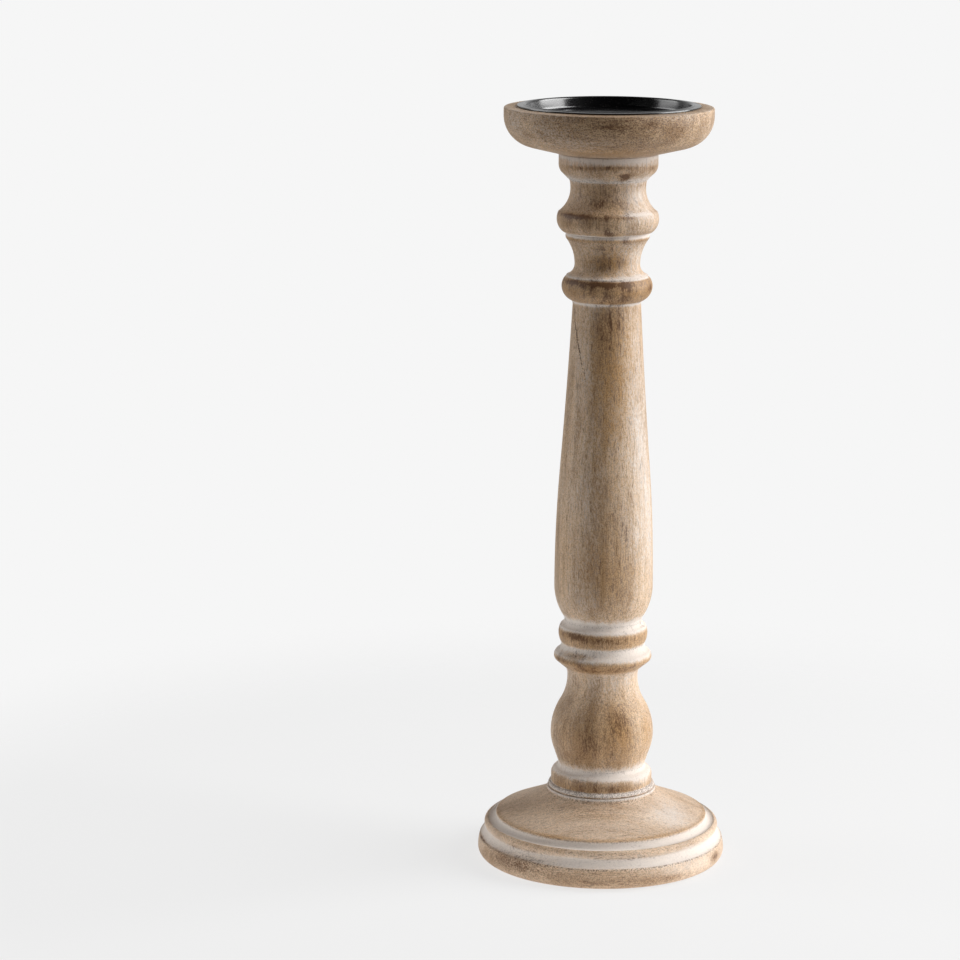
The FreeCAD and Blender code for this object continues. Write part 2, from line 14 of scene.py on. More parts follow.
import bpy
import numpy as np
from mathutils import Matrix, Vector
from mathutils.kdtree import KDTree


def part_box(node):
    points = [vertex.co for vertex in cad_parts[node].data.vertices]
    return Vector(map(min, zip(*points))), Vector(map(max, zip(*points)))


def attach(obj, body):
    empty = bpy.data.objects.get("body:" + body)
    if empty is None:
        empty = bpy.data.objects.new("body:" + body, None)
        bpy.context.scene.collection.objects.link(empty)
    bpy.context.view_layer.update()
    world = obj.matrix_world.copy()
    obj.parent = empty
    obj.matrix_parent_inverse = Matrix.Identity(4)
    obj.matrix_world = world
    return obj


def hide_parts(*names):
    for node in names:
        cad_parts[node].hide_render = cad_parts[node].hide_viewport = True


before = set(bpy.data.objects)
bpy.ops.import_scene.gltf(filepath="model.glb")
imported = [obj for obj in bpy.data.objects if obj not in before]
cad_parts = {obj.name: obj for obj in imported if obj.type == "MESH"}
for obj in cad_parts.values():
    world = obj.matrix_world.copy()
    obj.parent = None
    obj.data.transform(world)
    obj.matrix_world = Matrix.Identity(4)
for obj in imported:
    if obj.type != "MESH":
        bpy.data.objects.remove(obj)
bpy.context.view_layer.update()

log = logging.getLogger("candle_stand")

MM = 0.001
SEGMENTS = 192

Colour = tuple[int, int, int]
Span = tuple[float, float]
Socket = bpy.types.NodeSocket
# For each tone its patches, each one as the values of a Patch in their order.
Smears = dict["Tone", list[tuple[float, ...]]]


class Coat(Enum):
    """How the finish lies on a stretch of turned wood: extra limewash, brown, warm tan, dirt, and lumps."""

    PLAIN = (0.0, 0.0, 0.0, 0.0, 0.0)
    MILKY = (0.22, 0.0, 0.0, 0.0, 0.0)
    LIMED = (0.66, 0.0, 0.0, 0.0, 0.0)
    RUBBED = (-0.08, 0.25, 0.40, 0.0, 0.0)
    FILLED = (0.72, 0.0, 0.0, 0.36, 1.0)


class Tone(Enum):
    """What a patch adds to the finish, named as the mesh attribute that carries it."""

    # Limewash, and in a few patches a painted highlight down the lit right side.
    LIME = "lime"
    # Brown, and in one patch painted shade on the neck.
    BROWN = "brown"
    TAN = "tan"
    # Soiling, and the seam lines: dark joints, and painted shade along creases.
    DIRT = "dirt"


class Grain(Enum):
    """The way the wood's fibres run: the axis along which its pattern is drawn out."""

    UPRIGHT = (1.0, 1.0, 0.0)
    LEVEL = (0.0, 1.0, 1.0)


class Mark(Enum):
    """The noises in limed wood: features a metre across the grain and along it, and each one's character.

    The character is its detail, its roughness and its distortion.
    """

    FIGURE = (75, 5, 4.0, 0.6, 0.6)
    STREAK = (340, 11, 3.0, 0.55, 0.0)
    FIBRE = (1250, 60, 2.0, 0.6, 0.0)
    PORES = (1900, 150, 1.0, 0.4, 0.0)
    FLECK = (1500, 560, 2.0, 0.6, 0.0)
    CLOUD = (34, 16, 5.0, 0.62, 0.4)
    GRIT = (1700, 1700, 1.0, 0.5, 0.0)
    STROKES = (1200, 170, 2.0, 0.6, 0.0)
    MOTTLE = (130, 55, 4.0, 0.68, 0.5)


@dataclass(frozen=True)
class Patch:
    """A soft smear in the finish, placed by its turn and height and sized across and along."""

    turn: float
    height: float
    across: float
    along: float
    strength: float = 1.0
    lean: float = 0.0


@dataclass
class Station:
    """One point of a section, with the finish that lies there."""

    radius: float
    height: float
    finish: np.ndarray


@dataclass(frozen=True)
class Lay:
    """The finish along one move: a coat, and the one that it passes into over a fade, after a lag."""

    coat: Coat = Coat.PLAIN
    into: Optional[Coat] = None
    fade: float = 0.0
    lag: float = 0.0

    def at(self, gone: float) -> np.ndarray:
        """The finish at a distance from the move's start."""
        share = min(1.0, max(0.0, gone - self.lag) / self.fade) if self.fade else 0.0
        return np.array(self.coat.value) * (1 - share) + np.array((self.into or self.coat).value) * share


class Section:
    """Half of a turned piece's section, drawn outward from the axis and back to it.

    Each move starts where the last one ended. What stands after its sizes is how it is finished: the fields
    of a Lay, in their order.
    """

    STEP = 0.6
    SHORT_STEP = 0.36
    LONG_STEP = 2.5
    STEPS_TO_A_RADIUS = 14
    FEWEST_STEPS = 4

    def __init__(self, height: float, radius: float = 0.0) -> None:
        """Starts the drawing.

        Args:
            height: the height of its first point.
            radius: that point's radius, where a hole runs through the piece.
        """
        self.stations = [Station(radius, height, np.array(Coat.PLAIN.value))]
        self.heading = (1.0, 0.0)
        self.seams: dict[int, float] = {}

    @property
    def height(self) -> float:
        """The height that the drawing has reached."""
        return self.stations[-1].height

    def _add(self, points: Sequence[tuple[float, float]], lay: Lay) -> None:
        """Adds one move's points.

        Args:
            points: radius and height of each point after the last station.
            lay: the finish along them.
        """
        gone = 0.0
        for radius, height in points:
            last = self.stations[-1]
            gone += math.hypot(radius - last.radius, height - last.height)
            self.stations.append(Station(radius, height, lay.at(gone)))

    def _straight(self, radius: float, rise: float, lay: Lay) -> None:
        """Draws a straight line, with points between its ends only where the coat changes.

        Args:
            radius: the radius that it leads to.
            rise: how far it climbs.
            lay: the finish along it.
        """
        last = self.stations[-1]
        length = math.hypot(radius - last.radius, rise)
        count = max(1, math.ceil(length / self.STEP)) if lay.fade else 1
        shares = [(index + 1) / count for index in range(count)]
        self.heading = ((radius - last.radius) / length, rise / length)
        points = [(last.radius + (radius - last.radius) * s, last.height + rise * s) for s in shares]
        self._add(points, lay)

    def _arc(self, centre: tuple[float, float], end: tuple[float, float], lay: Lay) -> None:
        """Draws the arc about a centre that leads to an end, the short way round.

        Args:
            centre: the centre's radius and height.
            end: the radius and height that it leads to.
            lay: the finish along it.
        """
        last = self.stations[-1]
        bend = math.hypot(end[0] - centre[0], end[1] - centre[1])
        begin = math.atan2(last.height - centre[1], last.radius - centre[0])
        turn = math.remainder(math.atan2(end[1] - centre[1], end[0] - centre[0]) - begin, math.tau)
        plain_step = min(self.LONG_STEP, max(self.SHORT_STEP, bend / self.STEPS_TO_A_RADIUS))
        step = self.STEP if lay.fade else plain_step
        count = max(self.FEWEST_STEPS, math.ceil(abs(turn) * bend / step))
        angles = [begin + turn * (index + 1) / count for index in range(count)]
        points = [(centre[0] + bend * math.cos(a), centre[1] + bend * math.sin(a)) for a in angles]
        sense = math.copysign(1.0, turn)
        self.heading = (-math.sin(angles[-1]) * sense, math.cos(angles[-1]) * sense)
        self._add(points, lay)

    def _bend(self, radius: float, rise: float) -> float:
        """The radius of an arc that is upright at one end, below nothing where it bends inwards."""
        reach = radius - self.stations[-1].radius
        return math.copysign((reach ** 2 + rise ** 2) / (2 * abs(reach)), reach)

    def across(self, radius: float, *lay: Coat | float) -> None:
        """A level line out or in to a radius."""
        self._straight(radius, 0.0, Lay(*lay))

    def up(self, rise: float, *lay: Coat | float) -> None:
        """An upright line, downwards where the rise is negative."""
        self._straight(self.stations[-1].radius, rise, Lay(*lay))

    def slope(self, radius: float, rise: float, *lay: Coat | float) -> None:
        """A straight sloping line."""
        self._straight(radius, rise, Lay(*lay))

    def swell(self, radius: float, rise: float, *lay: Coat | float) -> None:
        """An arc that ends upright, as under a bead's belly or under a cove's throat."""
        end = (radius, self.height + rise)
        self._arc((radius - self._bend(radius, rise), end[1]), end, Lay(*lay))

    def fall(self, radius: float, rise: float, *lay: Coat | float) -> None:
        """An arc that starts upright, as over a bead's belly or over a cove's throat."""
        centre = (self.stations[-1].radius + self._bend(radius, rise), self.height)
        self._arc(centre, (radius, self.height + rise), Lay(*lay))

    def run_on(self, radius: float, rise: float, *lay: Coat | float) -> None:
        """An arc that runs on smoothly from the last move.

        Args:
            radius: the radius that it leads to.
            rise: how far it climbs.
            lay: the finish along it.
        """
        last = self.stations[-1]
        reach = (radius - last.radius, rise)
        side = (-self.heading[1], self.heading[0])
        bend = (reach[0] ** 2 + reach[1] ** 2) / (2 * (reach[0] * side[0] + reach[1] * side[1]))
        centre = (last.radius + side[0] * bend, last.height + side[1] * bend)
        self._arc(centre, (radius, last.height + rise), Lay(*lay))

    def close(self) -> None:
        """Ends the drawing on the axis, level with the last move."""
        self.across(0.0)

    def seam(self, strength: float = 1.0) -> None:
        """Marks a thin dark line where the last move ended: a dark joint, and painted shade along a crease.
        """
        self.seams[len(self.stations) - 1] = strength

    def softened(self, spread: float, seam_width: float) -> np.ndarray:
        """The finish at each station, blurred along the outline.

        Args:
            spread: the blur's reach in millimetres.
            seam_width: half the width of a dark seam line.

        Returns:
            One row for each station: limewash, brown, tan, dirt and lumps.
        """
        points = np.array([(s.radius, s.height) for s in self.stations])
        steps = np.hypot(*np.diff(points, axis=0).T)
        way = np.concatenate([[0.0], np.cumsum(steps)])
        weight = np.exp(-((way[:, None] - way[None, :]) / spread) ** 2)
        weight *= np.gradient(way)[None, :]
        finish = np.array([s.finish for s in self.stations])
        finish = weight @ finish / weight.sum(axis=1, keepdims=True)
        dirt = list(Tone).index(Tone.DIRT)
        # Each seam lays a dark line: a dark joint where two pieces meet, painted shade in a crease.
        for index, strength in self.seams.items():
            finish[:, dirt] += strength * np.exp(-((way - way[index]) / seam_width) ** 2)
        return finish


def deselect() -> None:
    """Leaves object mode with nothing selected, so that an operator acts only on what comes next."""
    if bpy.context.object and bpy.context.object.mode != "OBJECT":
        bpy.ops.object.mode_set(mode="OBJECT")
    bpy.ops.object.select_all(action="DESELECT")


def only(piece: bpy.types.Object) -> None:
    """Selects one object and makes it the active one.

    Args:
        piece: the object.
    """
    deselect()
    piece.select_set(True)
    bpy.context.view_layer.objects.active = piece


def apply_modifier(piece: bpy.types.Object, kind: str, **settings: object) -> None:
    """Adds a modifier and applies it.

    Args:
        piece: the object that it works on.
        kind: the modifier's type.
        settings: the modifier's own properties.
    """
    only(piece)
    modifier = piece.modifiers.new(kind.lower(), kind)
    for key, value in settings.items():
        setattr(modifier, key, value)
    bpy.ops.object.modifier_apply(modifier=modifier.name)


class Lathe:
    """Turns sections into closed meshes and lays the finish on them."""

    SOFTENING = 0.6
    SEAM_WIDTH = 0.45
    ARRIS = 0.22
    ARRIS_ANGLE = 24.0
    ARRIS_STEPS = 2
    WELD = 0.01
    SMOOTH_ANGLE = 40.0
    FAINTEST_LUMP = 0.01
    LUMP_HEIGHT = 0.7
    LUMP_SIZE = 1.1
    LUMP_DETAIL = 3
    LUMP_LEVEL = 0.55

    @classmethod
    def turn(cls, name: str, section: Section, arris: float = ARRIS) -> bpy.types.Object:
        """Draws the section as a chain of edges and spins it about the axis.

        Args:
            name: the new piece's name.
            section: its half section, in millimetres.
            arris: the width of the softening on its sharp edges.

        Returns:
            The piece, closed and smooth, with its place in its mesh.
        """
        deselect()
        bpy.ops.mesh.primitive_plane_add(size=MM, location=(0, 0, 0))
        piece = bpy.context.object
        piece.name = piece.data.name = name
        bpy.ops.object.mode_set(mode="EDIT")
        bpy.ops.mesh.select_all(action="SELECT")
        bpy.ops.mesh.merge(type="CENTER")
        start = section.stations[0]
        bpy.ops.transform.translate(value=(start.radius * MM, 0, start.height * MM))
        for before, after in pairwise(section.stations):
            step = ((after.radius - before.radius) * MM, 0, (after.height - before.height) * MM)
            bpy.ops.mesh.extrude_region_move(TRANSFORM_OT_translate={"value": step})
        bpy.ops.mesh.select_all(action="SELECT")
        bpy.ops.mesh.spin(steps=SEGMENTS, angle=math.tau, center=(0, 0, 0), axis=(0, 0, 1))
        bpy.ops.mesh.select_all(action="SELECT")
        bpy.ops.mesh.remove_doubles(threshold=cls.WELD * MM)
        bpy.ops.mesh.normals_make_consistent(inside=False)
        bpy.ops.object.mode_set(mode="OBJECT")
        if arris:
            apply_modifier(piece, "BEVEL", width=arris * MM, segments=cls.ARRIS_STEPS, limit_method="ANGLE",
                           angle_limit=math.radians(cls.ARRIS_ANGLE), use_clamp_overlap=True)
        only(piece)
        bpy.ops.object.shade_smooth_by_angle(angle=math.radians(cls.SMOOTH_ANGLE))
        return piece

    @classmethod
    def finish(cls, piece: bpy.types.Object, section: Section, smears: Smears) -> None:
        """Lays the section's coats and the smears on the mesh as attributes, and raises the lumps.

        Args:
            piece: a piece that was turned from the section.
            section: the half section that carries the coats.
            smears: for each tone, the values of its patches, which are added to the coats.
        """
        *tones, lumps = cls._coats(piece, section).T
        levels = dict(zip(Tone, tones))
        for tone, rows in smears.items():
            for row in rows:
                levels[tone] = levels[tone] + cls._smear(piece, Patch(*row))
        for tone, level in levels.items():
            attribute = piece.data.attributes.new(tone.value, "FLOAT", "POINT")
            attribute.data.foreach_set("value", level.astype(np.float32))
        if lumps.max() > cls.FAINTEST_LUMP:
            cls._raise_lumps(piece, lumps)

    @classmethod
    def _coats(cls, piece: bpy.types.Object, section: Section) -> np.ndarray:
        """The finish at each vertex, from the nearest station of the section.

        Args:
            piece: a piece that was turned from the section.
            section: the half section.

        Returns:
            One row for each vertex: limewash, brown, tan, dirt and lumps.
        """
        finish = section.softened(cls.SOFTENING, cls.SEAM_WIDTH)
        tree = KDTree(len(section.stations))
        for index, station in enumerate(section.stations):
            tree.insert((station.radius * MM, station.height * MM, 0), index)
        tree.balance()
        rows = []
        for vertex in piece.data.vertices:
            _, index, _ = tree.find((math.hypot(vertex.co.x, vertex.co.y), vertex.co.z, 0))
            rows.append(finish[index])
        return np.array(rows)

    @staticmethod
    def _smear(piece: bpy.types.Object, patch: Patch) -> np.ndarray:
        """A patch's strength at each vertex, soft towards its edge.

        Args:
            piece: the piece that it lies on.
            patch: the patch.

        Returns:
            One value for each vertex.
        """
        places = np.zeros(len(piece.data.vertices) * 3)
        piece.data.vertices.foreach_get("co", places)
        x, y, z = places.reshape(-1, 3).T / MM
        turn = np.arctan2(x, -y) - math.radians(patch.turn)
        across = np.hypot(x, y) * np.arctan2(np.sin(turn), np.cos(turn))
        along = z - patch.height
        lean = math.radians(patch.lean)
        sideways = across * math.cos(lean) - along * math.sin(lean)
        lengthways = across * math.sin(lean) + along * math.cos(lean)
        return patch.strength * np.exp(-(sideways / patch.across) ** 2 - (lengthways / patch.along) ** 2)

    @classmethod
    def _raise_lumps(cls, piece: bpy.types.Object, lumps: np.ndarray) -> None:
        """Roughens the mesh where the filler stands.

        Args:
            piece: the piece.
            lumps: how lumpy it is at each vertex, from 0 to 1.
        """
        group = piece.vertex_groups.new(name="lumps")
        for index in np.flatnonzero(lumps > cls.FAINTEST_LUMP):
            group.add([int(index)], float(min(1.0, lumps[index])), "REPLACE")
        clouds = bpy.data.textures.new("filler_lumps", "CLOUDS")
        clouds.noise_scale = cls.LUMP_SIZE * MM
        clouds.noise_depth = cls.LUMP_DETAIL
        apply_modifier(piece, "DISPLACE", texture=clouds, texture_coords="LOCAL", vertex_group="lumps",
                       strength=cls.LUMP_HEIGHT * MM, mid_level=cls.LUMP_LEVEL)


def shade(colour: Colour) -> tuple[float, float, float, float]:
    """Turns a colour as it is written on screen into the linear one that a shader takes.

    Args:
        colour: red, green and blue from 0 to 255.

    Returns:
        Red, green, blue and a full alpha, by the curve of sRGB.
    """
    levels = [channel / 255 for channel in colour]
    linear = [c / 12.92 if c <= 0.04045 else ((c + 0.055) / 1.055) ** 2.4 for c in levels]
    return (*linear, 1.0)


class Nodes:
    """The node tree of a material or of the world, with a short call for each kind of node in it."""

    def __init__(self, owner: bpy.types.Material | bpy.types.World, output: str = "OutputMaterial") -> None:
        """Empties the owner's tree but for an output.

        Args:
            owner: the material or the world.
            output: the type of its output node.
        """
        owner.use_nodes = True
        self.owner = owner
        self.tree = owner.node_tree
        self.tree.nodes.clear()
        self.output = self.add(output)

    def add(self, kind: str, inputs: Optional[dict[str | int, object]] = None,
            **settings: object) -> bpy.types.Node:
        """Adds a node.

        Args:
            kind: the node's type, without its ShaderNode prefix.
            inputs: a socket or a constant for each named or numbered input.
            settings: the node's own properties.

        Returns:
            The node.
        """
        node = self.tree.nodes.new("ShaderNode" + kind)
        for key, value in settings.items():
            setattr(node, key, value)
        for key, value in (inputs or {}).items():
            if isinstance(value, bpy.types.NodeSocket):
                self.tree.links.new(value, node.inputs[key])
            else:
                node.inputs[key].default_value = value
        return node

    def place(self, stretch: Sequence[float], shift: Sequence[float] = (0.0, 0.0, 0.0),
              lean: float = 0.0) -> Socket:
        """Places a pattern on the piece by its object coordinates.

        Args:
            stretch: how many features a metre holds on each axis.
            shift: where in the pattern the piece lies.
            lean: how far the pattern leans sideways, in degrees.

        Returns:
            The vector that a noise takes.
        """
        where = self.add("TexCoord").outputs["Object"]
        if lean:
            turned = {"Vector": where, "Axis": (0.0, 1.0, 0.0), "Angle": math.radians(lean)}
            where = self.add("VectorRotate", turned).outputs["Vector"]
        mapping = self.add("Mapping", {"Vector": where, "Scale": tuple(stretch), "Location": tuple(shift)})
        return mapping.outputs["Vector"]

    def noise(self, vector: Socket, detail: float = 2.0, roughness: float = 0.5,
              distortion: float = 0.0) -> Socket:
        """A noise's grey value, with one feature for each unit of the vector."""
        node = self.add("TexNoise", {"Vector": vector, "Scale": 1.0, "Detail": detail, "Roughness": roughness,
                                     "Distortion": distortion})
        return node.outputs["Fac"]

    def math(self, operation: str, first: Socket | float, second: Socket | float) -> Socket:
        """One sum of two values."""
        return self.add("Math", {0: first, 1: second}, operation=operation).outputs[0]

    def spread(self, value: Socket, low: float, high: float, start: float = 0.0, end: float = 1.0) -> Socket:
        """A value eased from one range into another, and held at its ends."""
        inputs = {"Value": value, "From Min": low, "From Max": high, "To Min": start, "To Max": end}
        return self.add("MapRange", inputs, interpolation_type="SMOOTHSTEP").outputs["Result"]

    def attribute(self, tone: Tone) -> Socket:
        """A tone that the lathe laid on the mesh."""
        return self.add("Attribute", attribute_name=tone.value).outputs["Fac"]

    def mix(self, share: Socket | float, first: Socket | tuple, second: Socket | tuple,
            blend: str = "MIX") -> Socket:
        """Mixes two colours.

        Args:
            share: how much of the second one there is.
            first: the colour below.
            second: the colour over it.
            blend: the way that they mix.

        Returns:
            The mixed colour.
        """
        node = self.add("Mix", {"Factor": share}, data_type="RGBA", blend_type=blend, clamp_factor=True)
        for socket, value in zip([s for s in node.inputs if s.type == "RGBA"], (first, second)):
            if isinstance(value, bpy.types.NodeSocket):
                self.tree.links.new(value, socket)
            else:
                socket.default_value = value
        return next(s for s in node.outputs if s.type == "RGBA")

    def bump(self, height: Socket, depth: float, strength: float = 1.0) -> Socket:
        """The normal of a surface that is raised by a height, in millimetres."""
        inputs = {"Height": height, "Distance": depth * MM, "Strength": strength}
        return self.add("Bump", inputs).outputs["Normal"]

    def surface(self, shader: bpy.types.Node) -> bpy.types.Material | bpy.types.World:
        """Ends the tree in a shader and returns its owner."""
        self.tree.links.new(shader.outputs[0], self.output.inputs["Surface"])
        return self.owner


@dataclass(frozen=True)
class LimedWood:
    """Turned wood under a thin limewash that was wiped off the high parts and left in the grooves."""

    name: str
    grain: Grain
    heart: Colour = (176, 141, 102)
    sap: Colour = (226, 193, 154)
    milk: Colour = (234, 215, 195)
    lime: Colour = (233, 223, 214)
    umber: Colour = (74, 47, 28)
    stain: Colour = (96, 61, 32)
    tan: Colour = (192, 147, 90)
    film: float = 0.26
    patchiness: float = 0.14
    speckle: float = 0.17
    streaks: float = 1.0
    smears: float = 0.42
    grit: float = 0.34
    strokes: float = 0.07
    brush_lean: float = 24.0
    seed: float = 0.0

    # The span of grey of a noise over which its mark shows.
    WHOLE: ClassVar[Span] = (0.3, 0.7)
    FIGURE_EDGE: ClassVar[Span] = (0.34, 0.66)
    STREAK_EDGE: ClassVar[Span] = (0.36, 0.60)
    FIBRE_EDGE: ClassVar[Span] = (0.35, 0.62)
    STROKE_EDGE: ClassVar[Span] = (0.35, 0.65)
    MOTTLE_EDGE: ClassVar[Span] = (0.45, 0.72)
    PORE_EDGE: ClassVar[Span] = (0.60, 0.74)
    GRIT_EDGE: ClassVar[Span] = (0.36, 0.56)
    GRIME_EDGE: ClassVar[Span] = (0.38, 0.62)
    MOTTLE_SHIFT: ClassVar[float] = 5

    # The wood and its film.
    STREAK_DARKNESS: ClassVar[float] = 0.15
    FIBRE_DARKNESS: ClassVar[float] = 0.34
    STREAK_FILM: ClassVar[float] = 0.11
    FILM_UNDER_BROWN: ClassVar[float] = 0.45
    FILM_ENDS: ClassVar[Span] = (0.05, 0.95)
    THICK_FILM: ClassVar[Span] = (0.48, 0.85)

    # What lies on them.
    BROWN_WEIGHT: ClassVar[float] = 1.15
    BROWN_STREAKS: ClassVar[Span] = (-0.38, 0.27)
    BROWN_FLECKS: ClassVar[Span] = (-0.42, 0.30)
    BROWN_EDGE: ClassVar[Span] = (0.10, 1.3)
    MOST_BROWN: ClassVar[float] = 0.90
    PORE_DARKNESS: ClassVar[float] = 0.5
    GRIT_DARKNESS: ClassVar[float] = 0.10
    GRIME_LEVELS: ClassVar[Span] = (0.22, -0.36)
    DIRT_AND_SHADE_EDGE: ClassVar[Span] = (0.1, 0.9)
    MOST_DIRT_AND_SHADE: ClassVar[float] = 0.85

    # The surface: the relief is a depth in millimetres and a strength.
    ROUGHNESS: ClassVar[Span] = (0.52, 0.78)
    SPECULAR: ClassVar[float] = 0.35
    PORE_RELIEF: ClassVar[float] = -0.8
    FLECK_RELIEF: ClassVar[float] = 0.6
    RELIEF: ClassVar[Span] = (0.12, 0.7)

    def _noise(self, n: Nodes, mark: Mark) -> Socket:
        """Draws a mark's noise out along the grain.

        Args:
            n: the material's nodes.
            mark: the mark.

        Returns:
            Its grey value.
        """
        across, along, *character = mark.value
        stretch = [across if level else along for level in self.grain.value]
        shift = (self.seed, self.seed * 2, self.seed * 3)
        if mark is Mark.MOTTLE:
            shift = (self.seed + self.MOTTLE_SHIFT, self.seed, 0.0)
        lean = self.brush_lean if mark is Mark.STROKES else 0.0
        return n.noise(n.place(stretch, shift, lean), *character)

    def _bare(self, n: Nodes, marks: dict[Mark, Socket]) -> Socket:
        """The wood's own colour, with its figure, dark streaks and fibres, warm places and grit.

        Args:
            n: the material's nodes.
            marks: the noise of each mark.

        Returns:
            The colour.
        """
        heart, sap, umber = shade(self.heart), shade(self.sap), shade(self.umber)
        streaks = n.spread(marks[Mark.STREAK], *self.STREAK_EDGE, self.STREAK_DARKNESS * self.streaks, 0.0)
        fibres = n.spread(marks[Mark.FIBRE], *self.FIBRE_EDGE, self.FIBRE_DARKNESS, 0.0)
        wood = n.mix(n.spread(marks[Mark.FIGURE], *self.FIGURE_EDGE), heart, sap)
        wood = n.mix(streaks, wood, umber, "MULTIPLY")
        wood = n.mix(fibres, wood, heart, "MULTIPLY")
        wood = n.mix(n.attribute(Tone.TAN), wood, shade(self.tan))
        grit = n.spread(marks[Mark.GRIT], *self.GRIT_EDGE, self.grit, 0.0)
        return n.mix(grit, wood, shade(self.stain), "MULTIPLY")

    def _film(self, n: Nodes, marks: dict[Mark, Socket], lime: Socket, brown: Socket) -> Socket:
        """How thick the limewash lies, from 0 to 1.

        Args:
            n: the material's nodes.
            marks: the noise of each mark.
            lime: the extra limewash that the lathe laid, with the painted highlights among its patches.
            brown: the brown that the lathe laid, where it is worn, and in one patch as painted shade.

        Returns:
            The thickness.
        """
        thin, thick = self.film - self.patchiness, self.film + self.patchiness
        streaks = self.STREAK_FILM * self.streaks
        film = n.math("ADD", n.spread(marks[Mark.CLOUD], *self.WHOLE, thin, thick), lime)
        film = n.math("ADD", film, n.spread(marks[Mark.STREAK], *self.WHOLE, -streaks, streaks))
        strokes = n.spread(marks[Mark.STROKES], *self.STROKE_EDGE, -self.strokes, self.strokes)
        film = n.math("ADD", film, strokes)
        dots = n.spread(marks[Mark.FLECK], *self.WHOLE, -self.speckle, self.speckle)
        film = n.math("ADD", film, n.math("MULTIPLY", dots, n.spread(lime, 0.2, 0.6, 1.0, 0.3)))
        film = n.math("SUBTRACT", film, n.math("MULTIPLY", brown, self.FILM_UNDER_BROWN))
        return n.spread(film, 0.0, 1.0, *self.FILM_ENDS)

    def _soiled(self, n: Nodes, marks: dict[Mark, Socket], lime: Socket, brown: Socket,
                colour: Socket) -> Socket:
        """Lays ragged brown smears, open pores, grit, dark specks and seam lines over a colour, the seam
        lines painted shade where they lie in creases.

        Args:
            n: the material's nodes.
            marks: the noise of each mark.
            lime: the extra limewash that the lathe laid, with its painted highlights, which fills pores.
            brown: the brown that the lathe laid.
            colour: the limed wood's colour.

        Returns:
            The colour that is seen.
        """
        low, high = (edge * self.streaks for edge in self.BROWN_STREAKS)
        mottle = n.spread(marks[Mark.MOTTLE], *self.MOTTLE_EDGE, 0.0, self.smears)
        ragged = n.math("ADD", n.math("MULTIPLY", brown, self.BROWN_WEIGHT), mottle)
        ragged = n.math("ADD", ragged, n.spread(marks[Mark.STREAK], *self.WHOLE, low, high))
        ragged = n.math("ADD", ragged, n.spread(marks[Mark.FLECK], *self.WHOLE, *self.BROWN_FLECKS))
        smeared = n.spread(ragged, *self.BROWN_EDGE, 0.0, self.MOST_BROWN)
        colour = n.mix(smeared, colour, shade(self.stain))
        open_pores = n.spread(lime, 0.1, 0.8, 1.0, 0.15)
        pores = n.spread(marks[Mark.PORES], *self.PORE_EDGE, 0.0, self.PORE_DARKNESS)
        colour = n.mix(n.math("MULTIPLY", pores, open_pores), colour, shade(self.umber))
        bare = n.spread(lime, 0.1, 0.6, 1.0, 0.1)
        grit = n.spread(marks[Mark.GRIT], *self.GRIT_EDGE, self.GRIT_DARKNESS, 0.0)
        colour = n.mix(n.math("MULTIPLY", grit, bare), colour, shade(self.stain), "MULTIPLY")
        specks = n.spread(marks[Mark.GRIT], *self.GRIME_EDGE, *self.GRIME_LEVELS)
        grime_and_shade = n.math("ADD", n.attribute(Tone.DIRT), specks)
        return n.mix(n.spread(grime_and_shade, *self.DIRT_AND_SHADE_EDGE, 0.0, self.MOST_DIRT_AND_SHADE), colour, shade(self.umber))

    def material(self) -> bpy.types.Material:
        """Builds the finish: wood, limewash film, brown smears, soiling and painted crease shade, and a fine
        relief of fibres and pores.

        Returns:
            The material.
        """
        n = Nodes(bpy.data.materials.new(self.name))
        marks = {mark: self._noise(n, mark) for mark in Mark}
        lime = n.attribute(Tone.LIME)
        brown = n.attribute(Tone.BROWN)
        film = self._film(n, marks, lime, brown)
        wash = n.mix(n.spread(film, *self.THICK_FILM), shade(self.milk), shade(self.lime))
        colour = n.mix(film, self._bare(n, marks), wash)
        pits = n.math("MULTIPLY", marks[Mark.PORES], self.PORE_RELIEF)
        flecks = n.math("MULTIPLY", marks[Mark.FLECK], self.FLECK_RELIEF)
        relief = n.math("ADD", n.math("ADD", marks[Mark.FIBRE], pits), flecks)
        shader = n.add("BsdfPrincipled", {
            "Base Color": self._soiled(n, marks, lime, brown, colour),
            "Roughness": n.spread(film, 0.0, 1.0, *self.ROUGHNESS),
            "Specular IOR Level": self.SPECULAR,
            "Normal": n.bump(relief, *self.RELIEF),
        })
        return n.surface(shader)


@dataclass(frozen=True)
class BlackEnamel:
    """Black satin enamel on pressed metal, with a faint orange peel and a little dust."""

    name: str = "black_satin_enamel"
    coat: Colour = (11, 10, 12)
    dust: Colour = (92, 88, 84)
    speck_edge: Span = (0.66, 0.74)
    haze_edge: Span = (0.4, 0.65)
    most_dust: float = 0.5
    roughness: Span = (0.19, 0.25)

    def material(self) -> bpy.types.Material:
        """Builds the finish.

        Returns:
            The material.
        """
        n = Nodes(bpy.data.materials.new(self.name))
        peel = n.noise(n.place((420, 420, 420)), detail=2.0, roughness=0.5)
        specks = n.noise(n.place((1500, 1500, 1500)), detail=1.0, roughness=0.5)
        haze = n.noise(n.place((30, 30, 30)), detail=3.0, roughness=0.6)
        settled = n.spread(haze, *self.haze_edge, 0.0, self.most_dust)
        dusty = n.math("MULTIPLY", n.spread(specks, *self.speck_edge), settled)
        around = n.add("VectorMath", {0: (0.0, 0.0, 1.0), 1: n.place((1, 1, 1))}, operation="CROSS_PRODUCT")
        shader = n.add("BsdfPrincipled", {
            "Base Color": n.mix(dusty, shade(self.coat), shade(self.dust)),
            "Roughness": n.spread(haze, 0.3, 0.7, *self.roughness),
            "Specular IOR Level": 1.0,
            "Coat Weight": 0.3,
            "Coat Roughness": 0.2,
            "Anisotropic": 0.35,
            "Anisotropic Rotation": 0.25,
            "Tangent": around.outputs["Vector"],
            "Normal": n.bump(peel, 0.03, 0.5),
        })
        return n.surface(shader)


